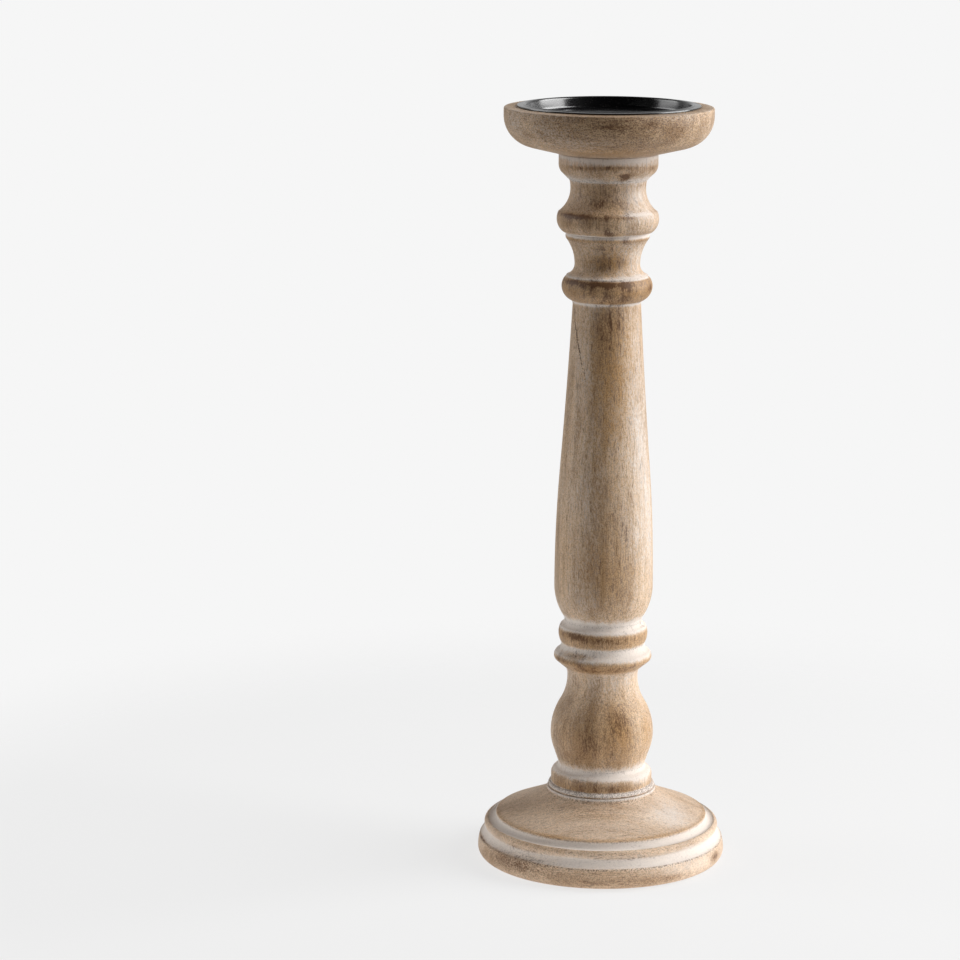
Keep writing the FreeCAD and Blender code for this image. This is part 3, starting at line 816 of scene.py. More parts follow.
@dataclass(frozen=True)
class PressedFelt:
    """Dark pressed felt."""

    name: str = "pressed_felt"
    dark: Colour = (66, 60, 54)
    pale: Colour = (112, 104, 95)

    def material(self) -> bpy.types.Material:
        """Builds the finish.

        Returns:
            The material.
        """
        n = Nodes(bpy.data.materials.new(self.name))
        hairs = n.noise(n.place((1400, 500, 900)), detail=4.0, roughness=0.7, distortion=2.0)
        tufts = n.noise(n.place((260, 260, 260)), detail=3.0, roughness=0.6)
        colour = n.mix(n.spread(hairs, 0.35, 0.65), shade(self.dark), shade(self.pale))
        shader = n.add("BsdfPrincipled", {
            "Base Color": n.mix(n.spread(tufts, 0.3, 0.7, 0.0, 0.35), colour, shade(self.dark)),
            "Roughness": 0.95,
            "Sheen Weight": 0.4,
            "Normal": n.bump(hairs, 0.3, 0.9),
        })
        return n.surface(shader)


@dataclass(frozen=True)
class ZincSteel:
    """Zinc-plated steel of small fasteners."""

    name: str = "zinc_steel"
    bright: Colour = (196, 194, 188)
    dull: Colour = (150, 148, 142)
    roughness: Span = (0.28, 0.46)

    def material(self) -> bpy.types.Material:
        """Builds the finish.

        Returns:
            The material.
        """
        n = Nodes(bpy.data.materials.new(self.name))
        bloom = n.noise(n.place((700, 700, 700)), detail=4.0, roughness=0.6)
        shader = n.add("BsdfPrincipled", {
            "Base Color": n.mix(n.spread(bloom, 0.35, 0.65), shade(self.dull), shade(self.bright)),
            "Metallic": 1.0,
            "Roughness": n.spread(bloom, 0.3, 0.7, *self.roughness),
            "Normal": n.bump(bloom, 0.02, 0.4),
        })
        return n.surface(shader)


def paint(piece: bpy.types.Object, material: bpy.types.Material) -> None:
    """Gives a piece one finish all over."""
    piece.data.materials.clear()
    piece.data.materials.append(material)


def dress(piece: bpy.types.Object, material: bpy.types.Material, body: str, node: str) -> None:
    """Gives a piece its finish and its place in the frame.

    Args:
        piece: the finished piece.
        material: its material.
        body: the CAD body that it moves with.
        node: the CAD node that it stands for.
    """
    paint(piece, material)
    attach(piece, body)
    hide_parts(node)


def overshoot(piece: bpy.types.Object, node: str) -> float:
    """Measures how far a piece reaches past the solid that it stands for.

    Args:
        piece: the dressed piece.
        node: the CAD node.

    Returns:
        The largest reach in millimetres, below nothing where the piece stays inside the solid's box.
    """
    low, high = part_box(node)
    reaches = [max(corner[i] - high[i], low[i] - corner[i]) for corner in piece.bound_box for i in range(3)]
    return max(reaches) / MM


@dataclass
class Foot:
    """The turned foot: plain band, cove, bead, groove and domed top, up to the land for the column."""

    seat: float = 0.8
    height: float = 35.7
    dia: float = 124.4
    sole_dia: float = 119.2
    edge_rise: float = 4.2
    band_top_dia: float = 122.6
    band_rise: float = 6.0
    cove_dia: float = 116.8
    cove_rise: float = 4.3
    bead_dia: float = 118.0
    bead_lower_rise: float = 2.0
    bead_top_dia: float = 114.6
    bead_upper_rise: float = 2.3
    groove_dia: float = 106.2
    groove_rise: float = 2.1
    nose_rise: float = 0.5
    nose_top_dia: float = 104.8
    nose_round_rise: float = 0.9
    dome_break_dia: float = 81.2
    dome_break_rise: float = 4.7
    land_dia: float = 54.8
    land_rise: float = 1.6
    relief_dia: float = 101.0
    relief_depth: float = 1.2
    counterbore_dia: float = 18.0
    counterbore_depth: float = 6.0
    hole_dia: float = 5.5
    socket_dia: float = 22.2
    socket_depth: float = 22.5

    SMEARS: ClassVar[Smears] = {
        Tone.LIME: [
            (52.0, 6.5, 22.0, 5.0, 0.3), (32.0, 8.5, 16.0, 4.0, 0.24), (54.0, 28.0, 22.0, 6.0, 0.36),
        ],
        Tone.BROWN: [
            (68.0, 7.0, 4.5, 2.4, 0.9), (-78.0, 10.9, 9.0, 0.7, 0.8), (8.0, 32.0, 26.0, 3.5, 0.2),
            (-5.0, 4.5, 20.0, 3.0, 0.25), (34.0, 4.5, 14.0, 1.6, 0.3), (30.0, 5.0, 34.0, 4.0, 0.22),
            (-50.0, 7.0, 16.0, 2.0, 0.25), (-44.0, 8.5, 24.0, 5.0, 0.6), (-24.0, 31.0, 20.0, 3.5, 0.16),
            (10.0, 15.8, 26.0, 0.9, 0.5), (-45.0, 15.8, 18.0, 0.9, 0.5),
        ],
        Tone.TAN: [
            (35.0, 23.6, 26.0, 1.2, 0.35), (-30.0, 23.6, 30.0, 1.2, 0.25),
        ],
    }

    def section(self) -> Section:
        """Draws the foot's half section, from the felt's relief out over the top and down its socket.

        Returns:
            The half section.
        """
        s = Section(self.seat + self.height - self.socket_depth, self.hole_dia / 2)
        s.up(self.relief_depth + self.counterbore_depth + self.socket_depth - self.height)
        s.across(self.counterbore_dia / 2)
        s.up(-self.counterbore_depth)
        s.across(self.relief_dia / 2)
        s.up(-self.relief_depth)
        s.across(self.sole_dia / 2)
        s.swell(self.dia / 2, self.edge_rise)
        s.fall(self.band_top_dia / 2, self.band_rise)
        # The seams below are thin dark lines: painted shade along the creases, and a dark joint at the land
        # where the column sits.
        s.seam(0.5)
        s.swell(self.cove_dia / 2, self.cove_rise, Coat.LIMED)
        s.swell(self.bead_dia / 2, self.bead_lower_rise, Coat.LIMED, Coat.MILKY, 1.6)
        s.fall(self.bead_top_dia / 2, self.bead_upper_rise, Coat.PLAIN)
        s.seam(0.35)
        s.swell(self.groove_dia / 2, self.groove_rise, Coat.LIMED)
        s.up(self.nose_rise, Coat.LIMED)
        s.seam(0.3)
        s.fall(self.nose_top_dia / 2, self.nose_round_rise, Coat.RUBBED)
        s.slope(self.dome_break_dia / 2, self.dome_break_rise, Coat.RUBBED, Coat.PLAIN, 2.0)
        s.run_on(self.land_dia / 2, self.seat + self.height - s.height - self.land_rise)
        s.seam(0.3)
        s.up(self.land_rise, Coat.LIMED)
        s.seam(0.15)
        s.across(self.socket_dia / 2, Coat.FILLED, Coat.PLAIN, 2.0)
        s.up(-self.socket_depth)
        s.across(self.hole_dia / 2)
        return s

    def build(self) -> bpy.types.Object:
        """Makes the foot and dresses it.

        Returns:
            The piece.
        """
        section = self.section()
        piece = Lathe.turn("turned_foot", section)
        Lathe.finish(piece, section, self.SMEARS)
        wood = LimedWood("limed_foot_wood", Grain.LEVEL, heart=(197, 164, 129), sap=(237, 208, 176),
                         milk=(237, 221, 205), film=0.27, patchiness=0.14, speckle=0.12, streaks=0.35,
                         smears=0.24, grit=0.34, strokes=0.03, seed=1.7)
        dress(piece, wood.material(), "stand", "foot")
        return piece


@dataclass
class Column:
    """The spindle: one piece of upright grain with a tenon at each end. Its sizes run from the foot up."""

    seat: float = 36.5
    length: float = 320.6
    foot_tenon_dia: float = 22.0
    foot_tenon_length: float = 22.0
    cup_tenon_dia: float = 20.0
    cup_tenon_length: float = 8.6
    base_dia: float = 52.4
    base_bead_dia: float = 53.6
    base_bead_rise: float = 1.2
    lower_collar_dia: float = 50.8
    lower_collar_rise: float = 4.4
    lower_collar_top_dia: float = 46.8
    lower_collar_round_rise: float = 3.1
    bulb_groove_dia: float = 43.2
    bulb_groove_rise: float = 2.3
    bulb_slope_dia: float = 48.3
    bulb_slope_rise: float = 7.5
    bulb_dia: float = 51.6
    bulb_lower_rise: float = 8.7
    bulb_upper_rise: float = 29.2
    bulb_turn_share: float = 0.55
    waist_dia: float = 35.2
    waist_flare_dia: float = 37.0
    waist_flare_rise: float = 4.2
    lower_ring_edge_dia: float = 46.8
    lower_ring_dia: float = 49.0
    lower_ring_under_rise: float = 4.1
    lower_ring_nose_rise: float = 2.1
    lower_ring_round_rise: float = 2.5
    ring_groove_dia: float = 41.6
    ring_groove_rise: float = 4.1
    upper_ring_dia: float = 44.6
    upper_ring_lower_rise: float = 5.4
    upper_ring_top_dia: float = 42.6
    upper_ring_upper_rise: float = 4.0
    shaft_groove_dia: float = 38.8
    shaft_groove_rise: float = 2.4
    shaft_foot_rise: float = 1.3
    shaft_dia: float = 49.3
    shaft_swell_rise: float = 16.8
    shaft_middle_dia: float = 44.6
    shaft_belly_rise: float = 60.0
    shaft_top_dia: float = 33.7
    shaft_flare_dia: float = 35.2
    shaft_flare_rise: float = 2.0
    torus_dia: float = 44.8
    torus_lower_rise: float = 7.1
    torus_top_dia: float = 41.2
    torus_upper_rise: float = 4.5
    torus_fillet_dia: float = 40.4
    torus_fillet_rise: float = 0.8
    cove_dia: float = 32.2
    cove_lower_rise: float = 5.4
    cove_top_dia: float = 40.0
    cove_upper_rise: float = 12.3
    astragal_dia: float = 41.4
    astragal_lower_rise: float = 1.7
    astragal_top_dia: float = 40.4
    astragal_upper_rise: float = 1.6
    knop_foot_dia: float = 44.0
    knop_foot_rise: float = 0.5
    knop_dia: float = 50.2
    knop_lower_rise: float = 6.2
    knop_arris_dia: float = 48.8
    knop_upper_rise: float = 3.5
    neck_dia: float = 37.0
    neck_cove_rise: float = 11.5
    neck_top_dia: float = 37.8
    neck_rise: float = 3.8
    collar_foot_dia: float = 39.0
    collar_foot_rise: float = 0.8
    collar_cushion_dia: float = 46.6
    collar_cushion_rise: float = 3.8
    collar_dia: float = 48.8
    collar_round_rise: float = 3.8
    collar_rise: float = 4.6
    collar_chamfer: float = 0.5

    SMEARS: ClassVar[Smears] = {
        Tone.LIME: [
            (30.0, 328.2, 9.0, 1.6, 0.3), (-56.0, 311.5, 12.0, 5.0, 0.16), (31.0, 297.3, 7.0, 1.6, 0.14),
            (-10.0, 282.0, 8.0, 5.0, 0.16), (34.0, 264.0, 8.0, 20.0, 0.13), (-56.0, 262.0, 9.0, 16.0, 0.12),
            (55.0, 236.0, 10.0, 18.0, 0.08), (-31.0, 186.0, 9.0, 14.0, 0.12),
            # The patch at turn 76 and height 310 is a painted highlight down the lit right side of the upper
            # mouldings.
            (-30.0, 138.0, 9.0, 8.0, 0.14), (34.0, 329.0, 12.0, 0.5, 0.5), (76.0, 310.0, 8.0, 32.0, 0.2),
            # The patch at height 355 is limewash along the collar's top, partly a painted highlight under the
            # cup's shadow.
            (8.0, 355.0, 22.0, 1.8, 0.35), (50.0, 336.0, 12.0, 9.0, 0.42), (-70.0, 338.0, 8.0, 9.0, 0.2),
            (44.0, 307.0, 8.0, 7.0, 0.3), (-40.0, 225.0, 9.0, 48.0, 0.12), (48.0, 185.0, 12.0, 36.0, 0.2),
            # The patches at turns 64 and 58 are a painted highlight down the lit right side of the shaft.
            (64.0, 205.0, 10.0, 60.0, 0.2), (58.0, 190.0, 13.0, 110.0, 0.1), (50.0, 272.0, 7.0, 20.0, 0.16),
            (50.0, 43.5, 11.0, 4.0, 0.5), (-20.0, 168.0, 12.0, 30.0, 0.10), (-35.0, 80.0, 9.0, 9.0, 0.15),
            (-38.0, 108.0, 12.0, 1.6, -0.2),
        ],
        Tone.BROWN: [
            (20.0, 348.2, 3.0, 1.1, 1.6), (8.0, 333.5, 22.0, 2.6, 0.35), (-32.0, 297.3, 12.0, 1.6, 0.32),
            (13.0, 283.0, 5.0, 6.0, 0.14), (12.0, 178.0, 8.0, 18.0, 0.16), (-58.0, 82.0, 12.0, 14.0, 0.12),
            (3.0, 79.0, 9.0, 6.0, 0.12), (33.0, 80.0, 8.0, 6.0, 0.14), (6.0, 69.5, 8.0, 6.0, 0.1),
            (-16.0, 72.0, 1.4, 13.0, 0.28), (-47.0, 70.0, 2.0, 10.0, 0.4), (-28.0, 66.0, 1.4, 8.0, 0.25),
            (5.0, 352.3, 12.0, 1.0, 0.7), (-38.0, 351.6, 7.0, 0.9, 0.5), (62.0, 351.0, 4.0, 1.2, 0.7),
            (-42.0, 328.0, 11.0, 1.2, 1.3), (-52.0, 325.5, 10.0, 2.6, 0.5), (8.0, 328.2, 8.0, 1.3, 0.7),
            (30.0, 327.8, 5.0, 0.9, 0.4), (3.0, 320.5, 4.0, 1.6, 0.8), (-20.0, 323.0, 12.0, 4.0, 0.3),
            (12.0, 305.5, 10.0, 4.5, 0.6), (-15.0, 312.5, 12.0, 1.6, 0.4), (0.0, 294.8, 16.0, 1.5, 0.7),
            (-9.0, 295.2, 6.0, 0.8, 0.7), (23.0, 294.6, 4.0, 1.0, 0.5), (-57.0, 294.8, 7.0, 1.2, 0.95),
            (70.0, 291.5, 3.5, 2.0, 0.8), (4.0, 290.0, 14.0, 3.0, 0.2), (-9.0, 272.0, 3.4, 13.0, 0.38),
            (17.0, 276.0, 7.0, 9.0, 0.44), (5.0, 252.0, 7.0, 30.0, 0.36), (6.0, 160.0, 10.0, 16.0, 0.12),
            # The patch at turn -2 and height 340 is painted shade on the neck's front, under the collar and
            # cup.
            (14.0, 147.0, 10.0, 11.0, 0.3), (-2.0, 340.0, 14.0, 6.5, 0.4), (10.0, 65.0, 19.0, 13.0, 0.36),
            (22.0, 75.0, 5.0, 6.0, 0.42), (-6.0, 62.0, 9.0, 7.0, 0.26), (-39.0, 118.0, 8.0, 2.0, 0.8),
            (10.0, 116.5, 13.0, 1.8, 0.5), (-55.0, 105.0, 8.0, 1.6, 0.6), (-38.0, 108.0, 12.0, 1.6, 0.45),
            (5.0, 101.5, 16.0, 1.6, 0.4), (12.0, 41.5, 18.0, 2.2, 0.6),
        ],
        Tone.TAN: [
            (16.0, 306.0, 14.0, 6.0, 0.9), (12.0, 244.0, 10.0, 36.0, 0.9), (38.0, 268.0, 5.0, 16.0, 0.6),
            (4.0, 150.0, 14.0, 18.0, 0.4), (22.0, 72.0, 8.0, 11.0, 0.8), (66.0, 66.0, 5.0, 11.0, 0.8),
            (-6.0, 62.0, 14.0, 10.0, 0.4), (64.0, 45.5, 4.0, 2.0, 0.4),
        ],
        Tone.DIRT: [
            (-55.0, 268.0, 0.5, 18.0, 1.3, -20.0),
        ],
    }

    def _lower_mouldings(self, s: Section) -> None:
        """Base bead, collar, bulb, waist and the two rings under the shaft.

        Args:
            s: the spindle's section so far.
        """
        s.across(self.base_dia / 2)
        # The seams below are thin dark lines: a dark joint where the column meets the foot, and painted shade
        # along the creases.
        s.seam(0.8)
        s.swell(self.base_bead_dia / 2, self.base_bead_rise, Coat.FILLED)
        s.fall(self.lower_collar_dia / 2, self.base_bead_rise, Coat.FILLED)
        s.seam(0.2)
        s.up(self.lower_collar_rise, Coat.RUBBED, Coat.PLAIN, self.lower_collar_rise)
        s.fall(self.lower_collar_top_dia / 2, self.lower_collar_round_rise, Coat.PLAIN, Coat.LIMED, 1.9, 0.8)
        s.swell(self.bulb_groove_dia / 2, self.bulb_groove_rise, Coat.LIMED)
        s.seam(0.28)
        s.slope(self.bulb_slope_dia / 2, self.bulb_slope_rise, Coat.LIMED, Coat.PLAIN, 4.6)
        s.swell(self.bulb_dia / 2, self.bulb_lower_rise)
        turn_rise = self.bulb_upper_rise * self.bulb_turn_share
        turn_dia = self.bulb_dia - (self.bulb_dia - self.waist_dia) * self.bulb_turn_share
        s.fall(turn_dia / 2, turn_rise)
        s.swell(self.waist_dia / 2, self.bulb_upper_rise - turn_rise, Coat.PLAIN, Coat.MILKY, 12.0)
        s.fall(self.waist_flare_dia / 2, self.waist_flare_rise, Coat.MILKY)
        s.slope(self.lower_ring_edge_dia / 2, self.lower_ring_under_rise, Coat.MILKY, Coat.RUBBED, 3.0)
        s.swell(self.lower_ring_dia / 2, self.lower_ring_nose_rise, Coat.RUBBED)
        s.fall(self.lower_ring_edge_dia / 2, self.lower_ring_round_rise, Coat.PLAIN, Coat.LIMED, 1.9, 0.2)
        s.swell(self.ring_groove_dia / 2, self.ring_groove_rise, Coat.LIMED)
        s.seam(0.28)
        s.swell(self.upper_ring_dia / 2, self.upper_ring_lower_rise, Coat.LIMED, Coat.RUBBED, 1.9)
        s.fall(self.upper_ring_top_dia / 2, self.upper_ring_upper_rise, Coat.RUBBED, Coat.LIMED, 1.9, 1.6)
        s.swell(self.shaft_groove_dia / 2, self.shaft_groove_rise, Coat.LIMED)
        s.seam(0.25)

    def _shaft(self, s: Section) -> None:
        """The shaft: a quick swell at its foot, a belly, and a long taper that fills what length is left.

        Args:
            s: the spindle's section so far.
        """
        s.up(self.shaft_foot_rise, Coat.LIMED)
        s.swell(self.shaft_dia / 2, self.shaft_swell_rise, Coat.LIMED, Coat.PLAIN, 4.0)
        s.fall(self.shaft_middle_dia / 2, self.shaft_belly_rise)
        above = (
            self.shaft_flare_rise + self.torus_lower_rise + self.torus_upper_rise + self.torus_fillet_rise
            + self.cove_lower_rise + self.cove_upper_rise
            + self.astragal_lower_rise + self.astragal_upper_rise
            + self.knop_foot_rise + self.knop_lower_rise + self.knop_upper_rise + self.neck_cove_rise
            + self.neck_rise + self.collar_foot_rise + self.collar_cushion_rise + self.collar_round_rise
            + self.collar_rise + self.collar_chamfer
        )
        s.run_on(self.shaft_top_dia / 2, self.seat + self.length - s.height - above)

    def _upper_mouldings(self, s: Section) -> None:
        """Torus, tapering cove, astragal, knop, neck and the cushioned collar under the cup.

        Args:
            s: the spindle's section so far.
        """
        s.fall(self.shaft_flare_dia / 2, self.shaft_flare_rise, Coat.PLAIN, Coat.LIMED, 1.5)
        # The seams below are thin dark lines of painted shade along the creases.
        s.seam(0.15)
        s.swell(self.torus_dia / 2, self.torus_lower_rise, Coat.RUBBED)
        s.fall(self.torus_top_dia / 2, self.torus_upper_rise, Coat.RUBBED)
        s.across(self.torus_fillet_dia / 2, Coat.LIMED)
        s.up(self.torus_fillet_rise, Coat.LIMED)
        s.seam(0.15)
        s.swell(self.cove_dia / 2, self.cove_lower_rise, Coat.LIMED, Coat.PLAIN, 3.6)
        s.fall(self.cove_top_dia / 2, self.cove_upper_rise, Coat.PLAIN)
        s.seam(0.3)
        s.swell(self.astragal_dia / 2, self.astragal_lower_rise, Coat.RUBBED)
        s.fall(self.astragal_top_dia / 2, self.astragal_upper_rise, Coat.LIMED)
        s.seam(0.15)
        s.slope(self.knop_foot_dia / 2, self.knop_foot_rise, Coat.LIMED)
        s.swell(self.knop_dia / 2, self.knop_lower_rise, Coat.RUBBED, Coat.PLAIN, 3.0)
        s.fall(self.knop_arris_dia / 2, self.knop_upper_rise, Coat.PLAIN)
        s.swell(self.neck_dia / 2, self.neck_cove_rise, Coat.PLAIN)
        s.fall(self.neck_top_dia / 2, self.neck_rise, Coat.PLAIN)
        s.slope(self.collar_foot_dia / 2, self.collar_foot_rise, Coat.LIMED)
        s.seam(0.3)
        s.slope(self.collar_cushion_dia / 2, self.collar_cushion_rise, Coat.PLAIN)
        s.swell(self.collar_dia / 2, self.collar_round_rise, Coat.PLAIN)
        # Towards its top the collar turns limed: limewash in the joint under the cup, partly a painted
        # highlight against the cup's shadow.
        s.up(self.collar_rise, Coat.MILKY, Coat.LIMED, 1.4, 2.6)
        s.slope(self.collar_dia / 2 - self.collar_chamfer, self.collar_chamfer, Coat.LIMED)

    def section(self) -> Section:
        """Draws the spindle's half section, tenons and all.

        Returns:
            The half section.
        """
        s = Section(self.seat - self.foot_tenon_length)
        s.across(self.foot_tenon_dia / 2)
        s.up(self.foot_tenon_length)
        self._lower_mouldings(s)
        self._shaft(s)
        self._upper_mouldings(s)
        s.across(self.cup_tenon_dia / 2)
        s.up(self.cup_tenon_length)
        s.close()
        return s

    def build(self) -> bpy.types.Object:
        """Makes the spindle and dresses it.

        Returns:
            The piece.
        """
        section = self.section()
        piece = Lathe.turn("turned_column", section)
        Lathe.finish(piece, section, self.SMEARS)
        wood = LimedWood("limed_column_wood", Grain.UPRIGHT, seed=0.0)
        dress(piece, wood.material(), "stand", "column")
        return piece


@dataclass
class Cup:
    """The bowl-shaped cup, with the dish's recess above and the column's socket below."""

    seat: float = 357.1
    height: float = 22.6
    dia: float = 102.8
    seat_dia: float = 50.0
    underside_dia: float = 80.6
    underside_rise: float = 3.7
    side_rise: float = 14.6
    rim_dia: float = 101.0
    rim_round_rise: float = 0.8
    land_dia: float = 91.8
    rim_slope_rise: float = 0.2
    recess_dia: float = 83.0
    recess_depth: float = 5.8
    socket_dia: float = 20.2
    socket_depth: float = 9.1
    hole_dia: float = 5.5
    countersink_dia: float = 10.1
    countersink_rise: float = 2.7
    countersink_depth: float = 0.9

    SMEARS: ClassVar[Smears] = {
        Tone.LIME: [
            (-30.0, 374.0, 9.0, 5.0, 0.12), (-22.0, 365.0, 20.0, 2.5, 0.1), (-52.0, 373.0, 26.0, 8.0, 0.22),
            (58.0, 371.0, 18.0, 8.0, 0.16),
        ],
        Tone.BROWN: [
            (17.0, 375.5, 22.0, 3.5, 0.38), (-3.0, 377.2, 13.0, 2.6, 0.5), (4.0, 372.0, 10.0, 3.0, 0.42),
            (-35.0, 376.0, 18.0, 2.5, 0.2), (45.0, 372.0, 12.0, 3.5, 0.2),
        ],
        Tone.TAN: [
            (0.0, 361.5, 60.0, 3.0, 0.5), (-60.0, 363.0, 20.0, 2.5, 0.3),
        ],
    }

    def section(self) -> Section:
        """Draws the cup's half section, from its socket out round the bowl and back over the recess's floor.

        Returns:
            The half section.
        """
        s = Section(self.seat + self.socket_depth, self.hole_dia / 2)
        s.across(self.socket_dia / 2)
        s.up(-self.socket_depth)
        s.across(self.seat_dia / 2)
        # The limed ring round the seat is limewash in the joint, partly a painted highlight against the shade
        # under the cup.
        s.slope(self.underside_dia / 2, self.underside_rise, Coat.LIMED, Coat.PLAIN, 2.0, 0.4)
        s.swell(self.dia / 2, self.side_rise)
        s.up(self.seat + self.height - s.height - self.rim_round_rise - self.rim_slope_rise)
        s.fall(self.rim_dia / 2, self.rim_round_rise, Coat.MILKY)
        s.slope(self.land_dia / 2, self.rim_slope_rise)
        s.across(self.recess_dia / 2)
        s.up(-self.recess_depth)
        s.across(self.countersink_dia / 2)
        s.up(-self.countersink_depth)
        s.slope(self.hole_dia / 2, -self.countersink_rise)
        s.up(self.seat + self.socket_depth - s.height)
        return s

    def build(self) -> bpy.types.Object:
        """Makes the cup and dresses it.

        Returns:
            The piece.
        """
        section = self.section()
        piece = Lathe.turn("turned_cup", section)
        Lathe.finish(piece, section, self.SMEARS)
        wood = LimedWood("limed_cup_wood", Grain.LEVEL, film=0.22, patchiness=0.16, speckle=0.27, streaks=0.8,
                         grit=0.62, strokes=0.04, seed=4.3)
        dress(piece, wood.material(), "stand", "cup")
        return piece


@dataclass
class Dish:
    """The pressed dish: floor, wall, rolled lip and a flat flange, all of one thickness of sheet."""

    seat: float = 379.7
    sheet: float = 0.8
    dia: float = 89.8
    bore_dia: float = 80.4
    depth: float = 5.9
    corner: float = 1.6
    draft: float = 0.4
    lip: float = 1.2
    crest_rise: float = 0.5
    ramp: float = 0.9
    arris: float = 0.12

    def section(self) -> Section:
        """Draws the dish's half section, out along the underside and back along the inside.

        Returns:
            The half section.
        """
        wall = self.bore_dia / 2
        s = Section(self.seat + self.sheet + self.crest_rise - self.depth - self.sheet)
        s.across(wall - self.draft - self.corner)
        s.swell(wall - self.draft + self.sheet, self.corner + self.sheet)
        s.slope(wall + self.sheet, self.depth - self.corner - self.lip)
        s.fall(wall + self.lip, self.lip - self.sheet)
        s.slope(wall + self.lip + self.ramp, -self.crest_rise)
        s.across(self.dia / 2)
        s.up(self.sheet)
        s.across(wall + self.lip + self.ramp)
        s.slope(wall + self.lip, self.crest_rise)
        s.swell(wall, -self.lip)
        s.slope(wall - self.draft, self.corner + self.lip - self.depth)
        s.fall(wall - self.draft - self.corner, -self.corner)
        s.close()
        return s

    def build(self) -> bpy.types.Object:
        """Makes the dish and dresses it.

        Returns:
            The piece.
        """
        piece = Lathe.turn("pressed_dish", self.section(), self.arris)
        dress(piece, BlackEnamel().material(), "dish", "dish")
        return piece


@dataclass
class Softbox:
    """A square studio lamp that faces the stand, with its distance and size in metres.

    At level 1 it lights a surface that faces it about as the surface is coloured.
    """

    name: str
    turn: float
    elevation: float
    distance: float
    size: float
    level: float
    colour: Colour = (255, 255, 255)

    def build(self, target: Vector) -> bpy.types.Object:
        """Hangs the lamp and points it.

        Args:
            target: the point that it faces.

        Returns:
            The lamp.
        """
        turn, elevation = math.radians(self.turn), math.radians(self.elevation)
        towards = Vector((math.sin(turn) * math.cos(elevation), -math.cos(turn) * math.cos(elevation),
                          math.sin(elevation)))
        data = bpy.data.lights.new(self.name, "AREA")
        data.shape = "SQUARE"
        data.size = self.size
        data.energy = self.level * math.pi ** 2 * self.distance ** 2
        data.color = shade(self.colour)[:3]
        lamp = bpy.data.objects.new(self.name, data)
        lamp.location = target + towards * self.distance
        lamp.rotation_euler = (-towards).to_track_quat("-Z", "Y").to_euler()
        bpy.context.scene.collection.objects.link(lamp)
        return lamp


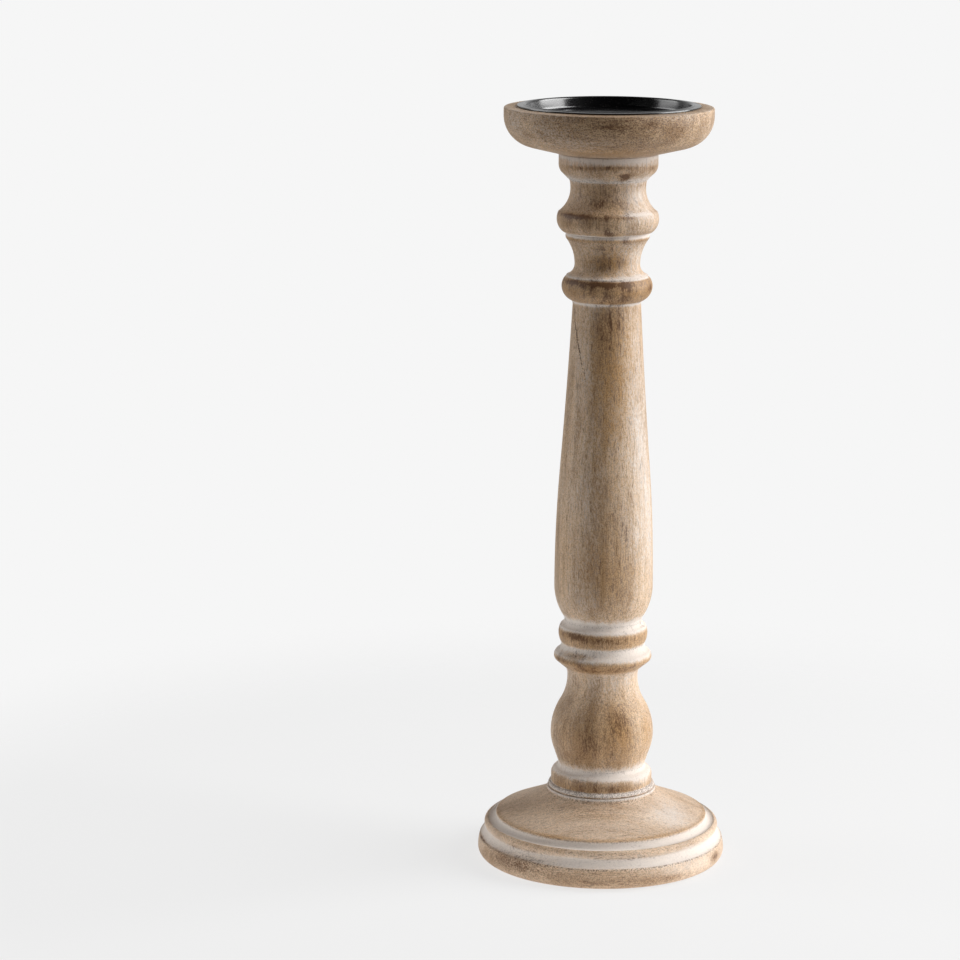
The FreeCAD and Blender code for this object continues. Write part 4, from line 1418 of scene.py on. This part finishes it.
@dataclass
class Studio:
    """The plain pale room: floor, background, lamps and the camera, with its own sizes in metres."""

    backdrop: Colour = (246, 246, 246)
    floor_paper: Colour = (238, 238, 238)
    floor_radius: float = 0.52
    floor_fade: float = 0.30
    floor_glow: float = 0.78
    floor_fill_glow: float = 0.40
    floor_sides: int = 96
    floor_edge: float = 0.98
    lamp_aim: float = 0.2
    ambient: float = 0.155
    mirror_start: float = 0.0
    mirror_full: float = 1.6
    camera_distance: float = 1.68835
    camera_height: float = 0.53970
    camera_yaw: float = 2.107
    camera_pitch: float = 11.589
    camera_roll: float = 0.261
    lens: float = 129.76
    sensor: float = 36.0

    def _world(self) -> None:
        """Lights softly, and shows the backdrop to the camera.

        Glossy reflections see it too, dimmer, and only where they look behind the stand.
        """
        world = bpy.data.worlds.new("studio")
        bpy.context.scene.world = world
        n = Nodes(world, "OutputWorld")
        path = n.add("LightPath").outputs
        away = n.add("SeparateXYZ", {0: n.add("TexCoord").outputs["Generated"]}).outputs["Y"]
        behind = n.spread(away, self.mirror_start, self.mirror_full)
        mirrored = n.math("MULTIPLY", path["Is Glossy Ray"], behind)
        seen = n.math("MAXIMUM", path["Is Camera Ray"], path["Is Transmission Ray"])
        seen = n.math("MAXIMUM", seen, mirrored)
        backdrop = n.add("Background", {"Color": shade(self.backdrop)})
        unmirrored = n.math("SUBTRACT", 1.0, path["Is Glossy Ray"])
        glow = n.add("Background", {"Strength": n.math("MULTIPLY", unmirrored, self.ambient)})
        n.surface(n.add("MixShader", {0: seen, 1: glow.outputs[0], 2: backdrop.outputs[0]}))

    def _floor(self) -> None:
        """A pale round floor that fades into the background, and glows for every ray but the camera's as a
        fill light from below.
        """
        deselect()
        bpy.ops.mesh.primitive_circle_add(vertices=self.floor_sides, radius=self.floor_radius,
                                          fill_type="NGON")
        floor = bpy.context.object
        floor.name = "studio_floor"
        n = Nodes(bpy.data.materials.new("floor_paper"))
        where = n.add("TexCoord").outputs["Object"]
        reach = n.add("VectorMath", {0: where}, operation="LENGTH").outputs["Value"]
        fade = n.spread(reach, self.floor_fade, self.floor_radius * self.floor_edge)
        paper = n.add("BsdfDiffuse", {"Color": shade(self.floor_paper), "Roughness": 0.0})
        glow = n.add("Emission", {"Color": shade(self.backdrop)})
        camera = n.add("LightPath").outputs["Is Camera Ray"]
        unseen = n.math("SUBTRACT", 1.0, camera)
        fill_glow = n.add("Emission", {"Strength": n.math("MULTIPLY", unseen, self.floor_fill_glow)})
        bright = n.add("AddShader", {0: paper.outputs[0], 1: fill_glow.outputs[0]})
        seen = n.math("MULTIPLY", camera, self.floor_glow)
        lit = n.add("MixShader", {0: seen, 1: bright.outputs[0], 2: glow.outputs[0]})
        clear = n.add("BsdfTransparent")
        mixed = n.add("MixShader", {0: fade, 1: lit.outputs[0], 2: clear.outputs[0]})
        floor.data.materials.append(n.surface(mixed))

    def _camera(self) -> None:
        """The photograph's viewpoint."""
        data = bpy.data.cameras.new("camera")
        data.lens = self.lens
        data.sensor_width = self.sensor
        camera = bpy.data.objects.new("camera", data)
        camera.rotation_mode = "QUATERNION"
        camera.location = (0, -self.camera_distance, self.camera_height)
        turned = Matrix.Rotation(math.radians(self.camera_yaw), 3, "Z")
        tipped = Matrix.Rotation(math.radians(90 - self.camera_pitch), 3, "X")
        rolled = Matrix.Rotation(math.radians(self.camera_roll), 3, "Z")
        camera.rotation_quaternion = (turned @ tipped @ rolled).to_quaternion()
        bpy.context.scene.collection.objects.link(camera)
        bpy.context.scene.camera = camera

    def build(self) -> None:
        """Sets up the room around the stand."""
        bpy.context.scene.view_settings.view_transform = "Standard"
        self._world()
        self._floor()
        aim = Vector((0, 0, self.lamp_aim))
        Softbox("key_softbox", turn=92.0, elevation=26.0, distance=1.5, size=1.3, level=1.62).build(aim)
        Softbox("left_softbox", turn=-96.0, elevation=20.0, distance=1.5, size=1.0, level=0.36).build(aim)
        self._camera()


def main() -> None:
    """Builds the stand's pieces in order, from the ground up, and then the studio."""
    logging.basicConfig(level=logging.INFO, format="%(name)s: %(message)s")
    steel = ZincSteel().material()
    felt = PressedFelt().material()
    kept = {"base_felt": felt, "cup_screw": steel, "foot_screw": steel, "foot_washer": steel}
    for node, material in kept.items():
        paint(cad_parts[node], material)
        log.info("%s keeps its solid", node)
    for node, maker in {"foot": Foot(), "column": Column(), "cup": Cup(), "dish": Dish()}.items():
        piece = maker.build()
        faces = len(piece.data.polygons)
        log.info("%s: %d faces, %.3f mm past the solid's box", piece.name, faces, overshoot(piece, node))
    Studio().build()


if __name__ == "__main__":
    main()
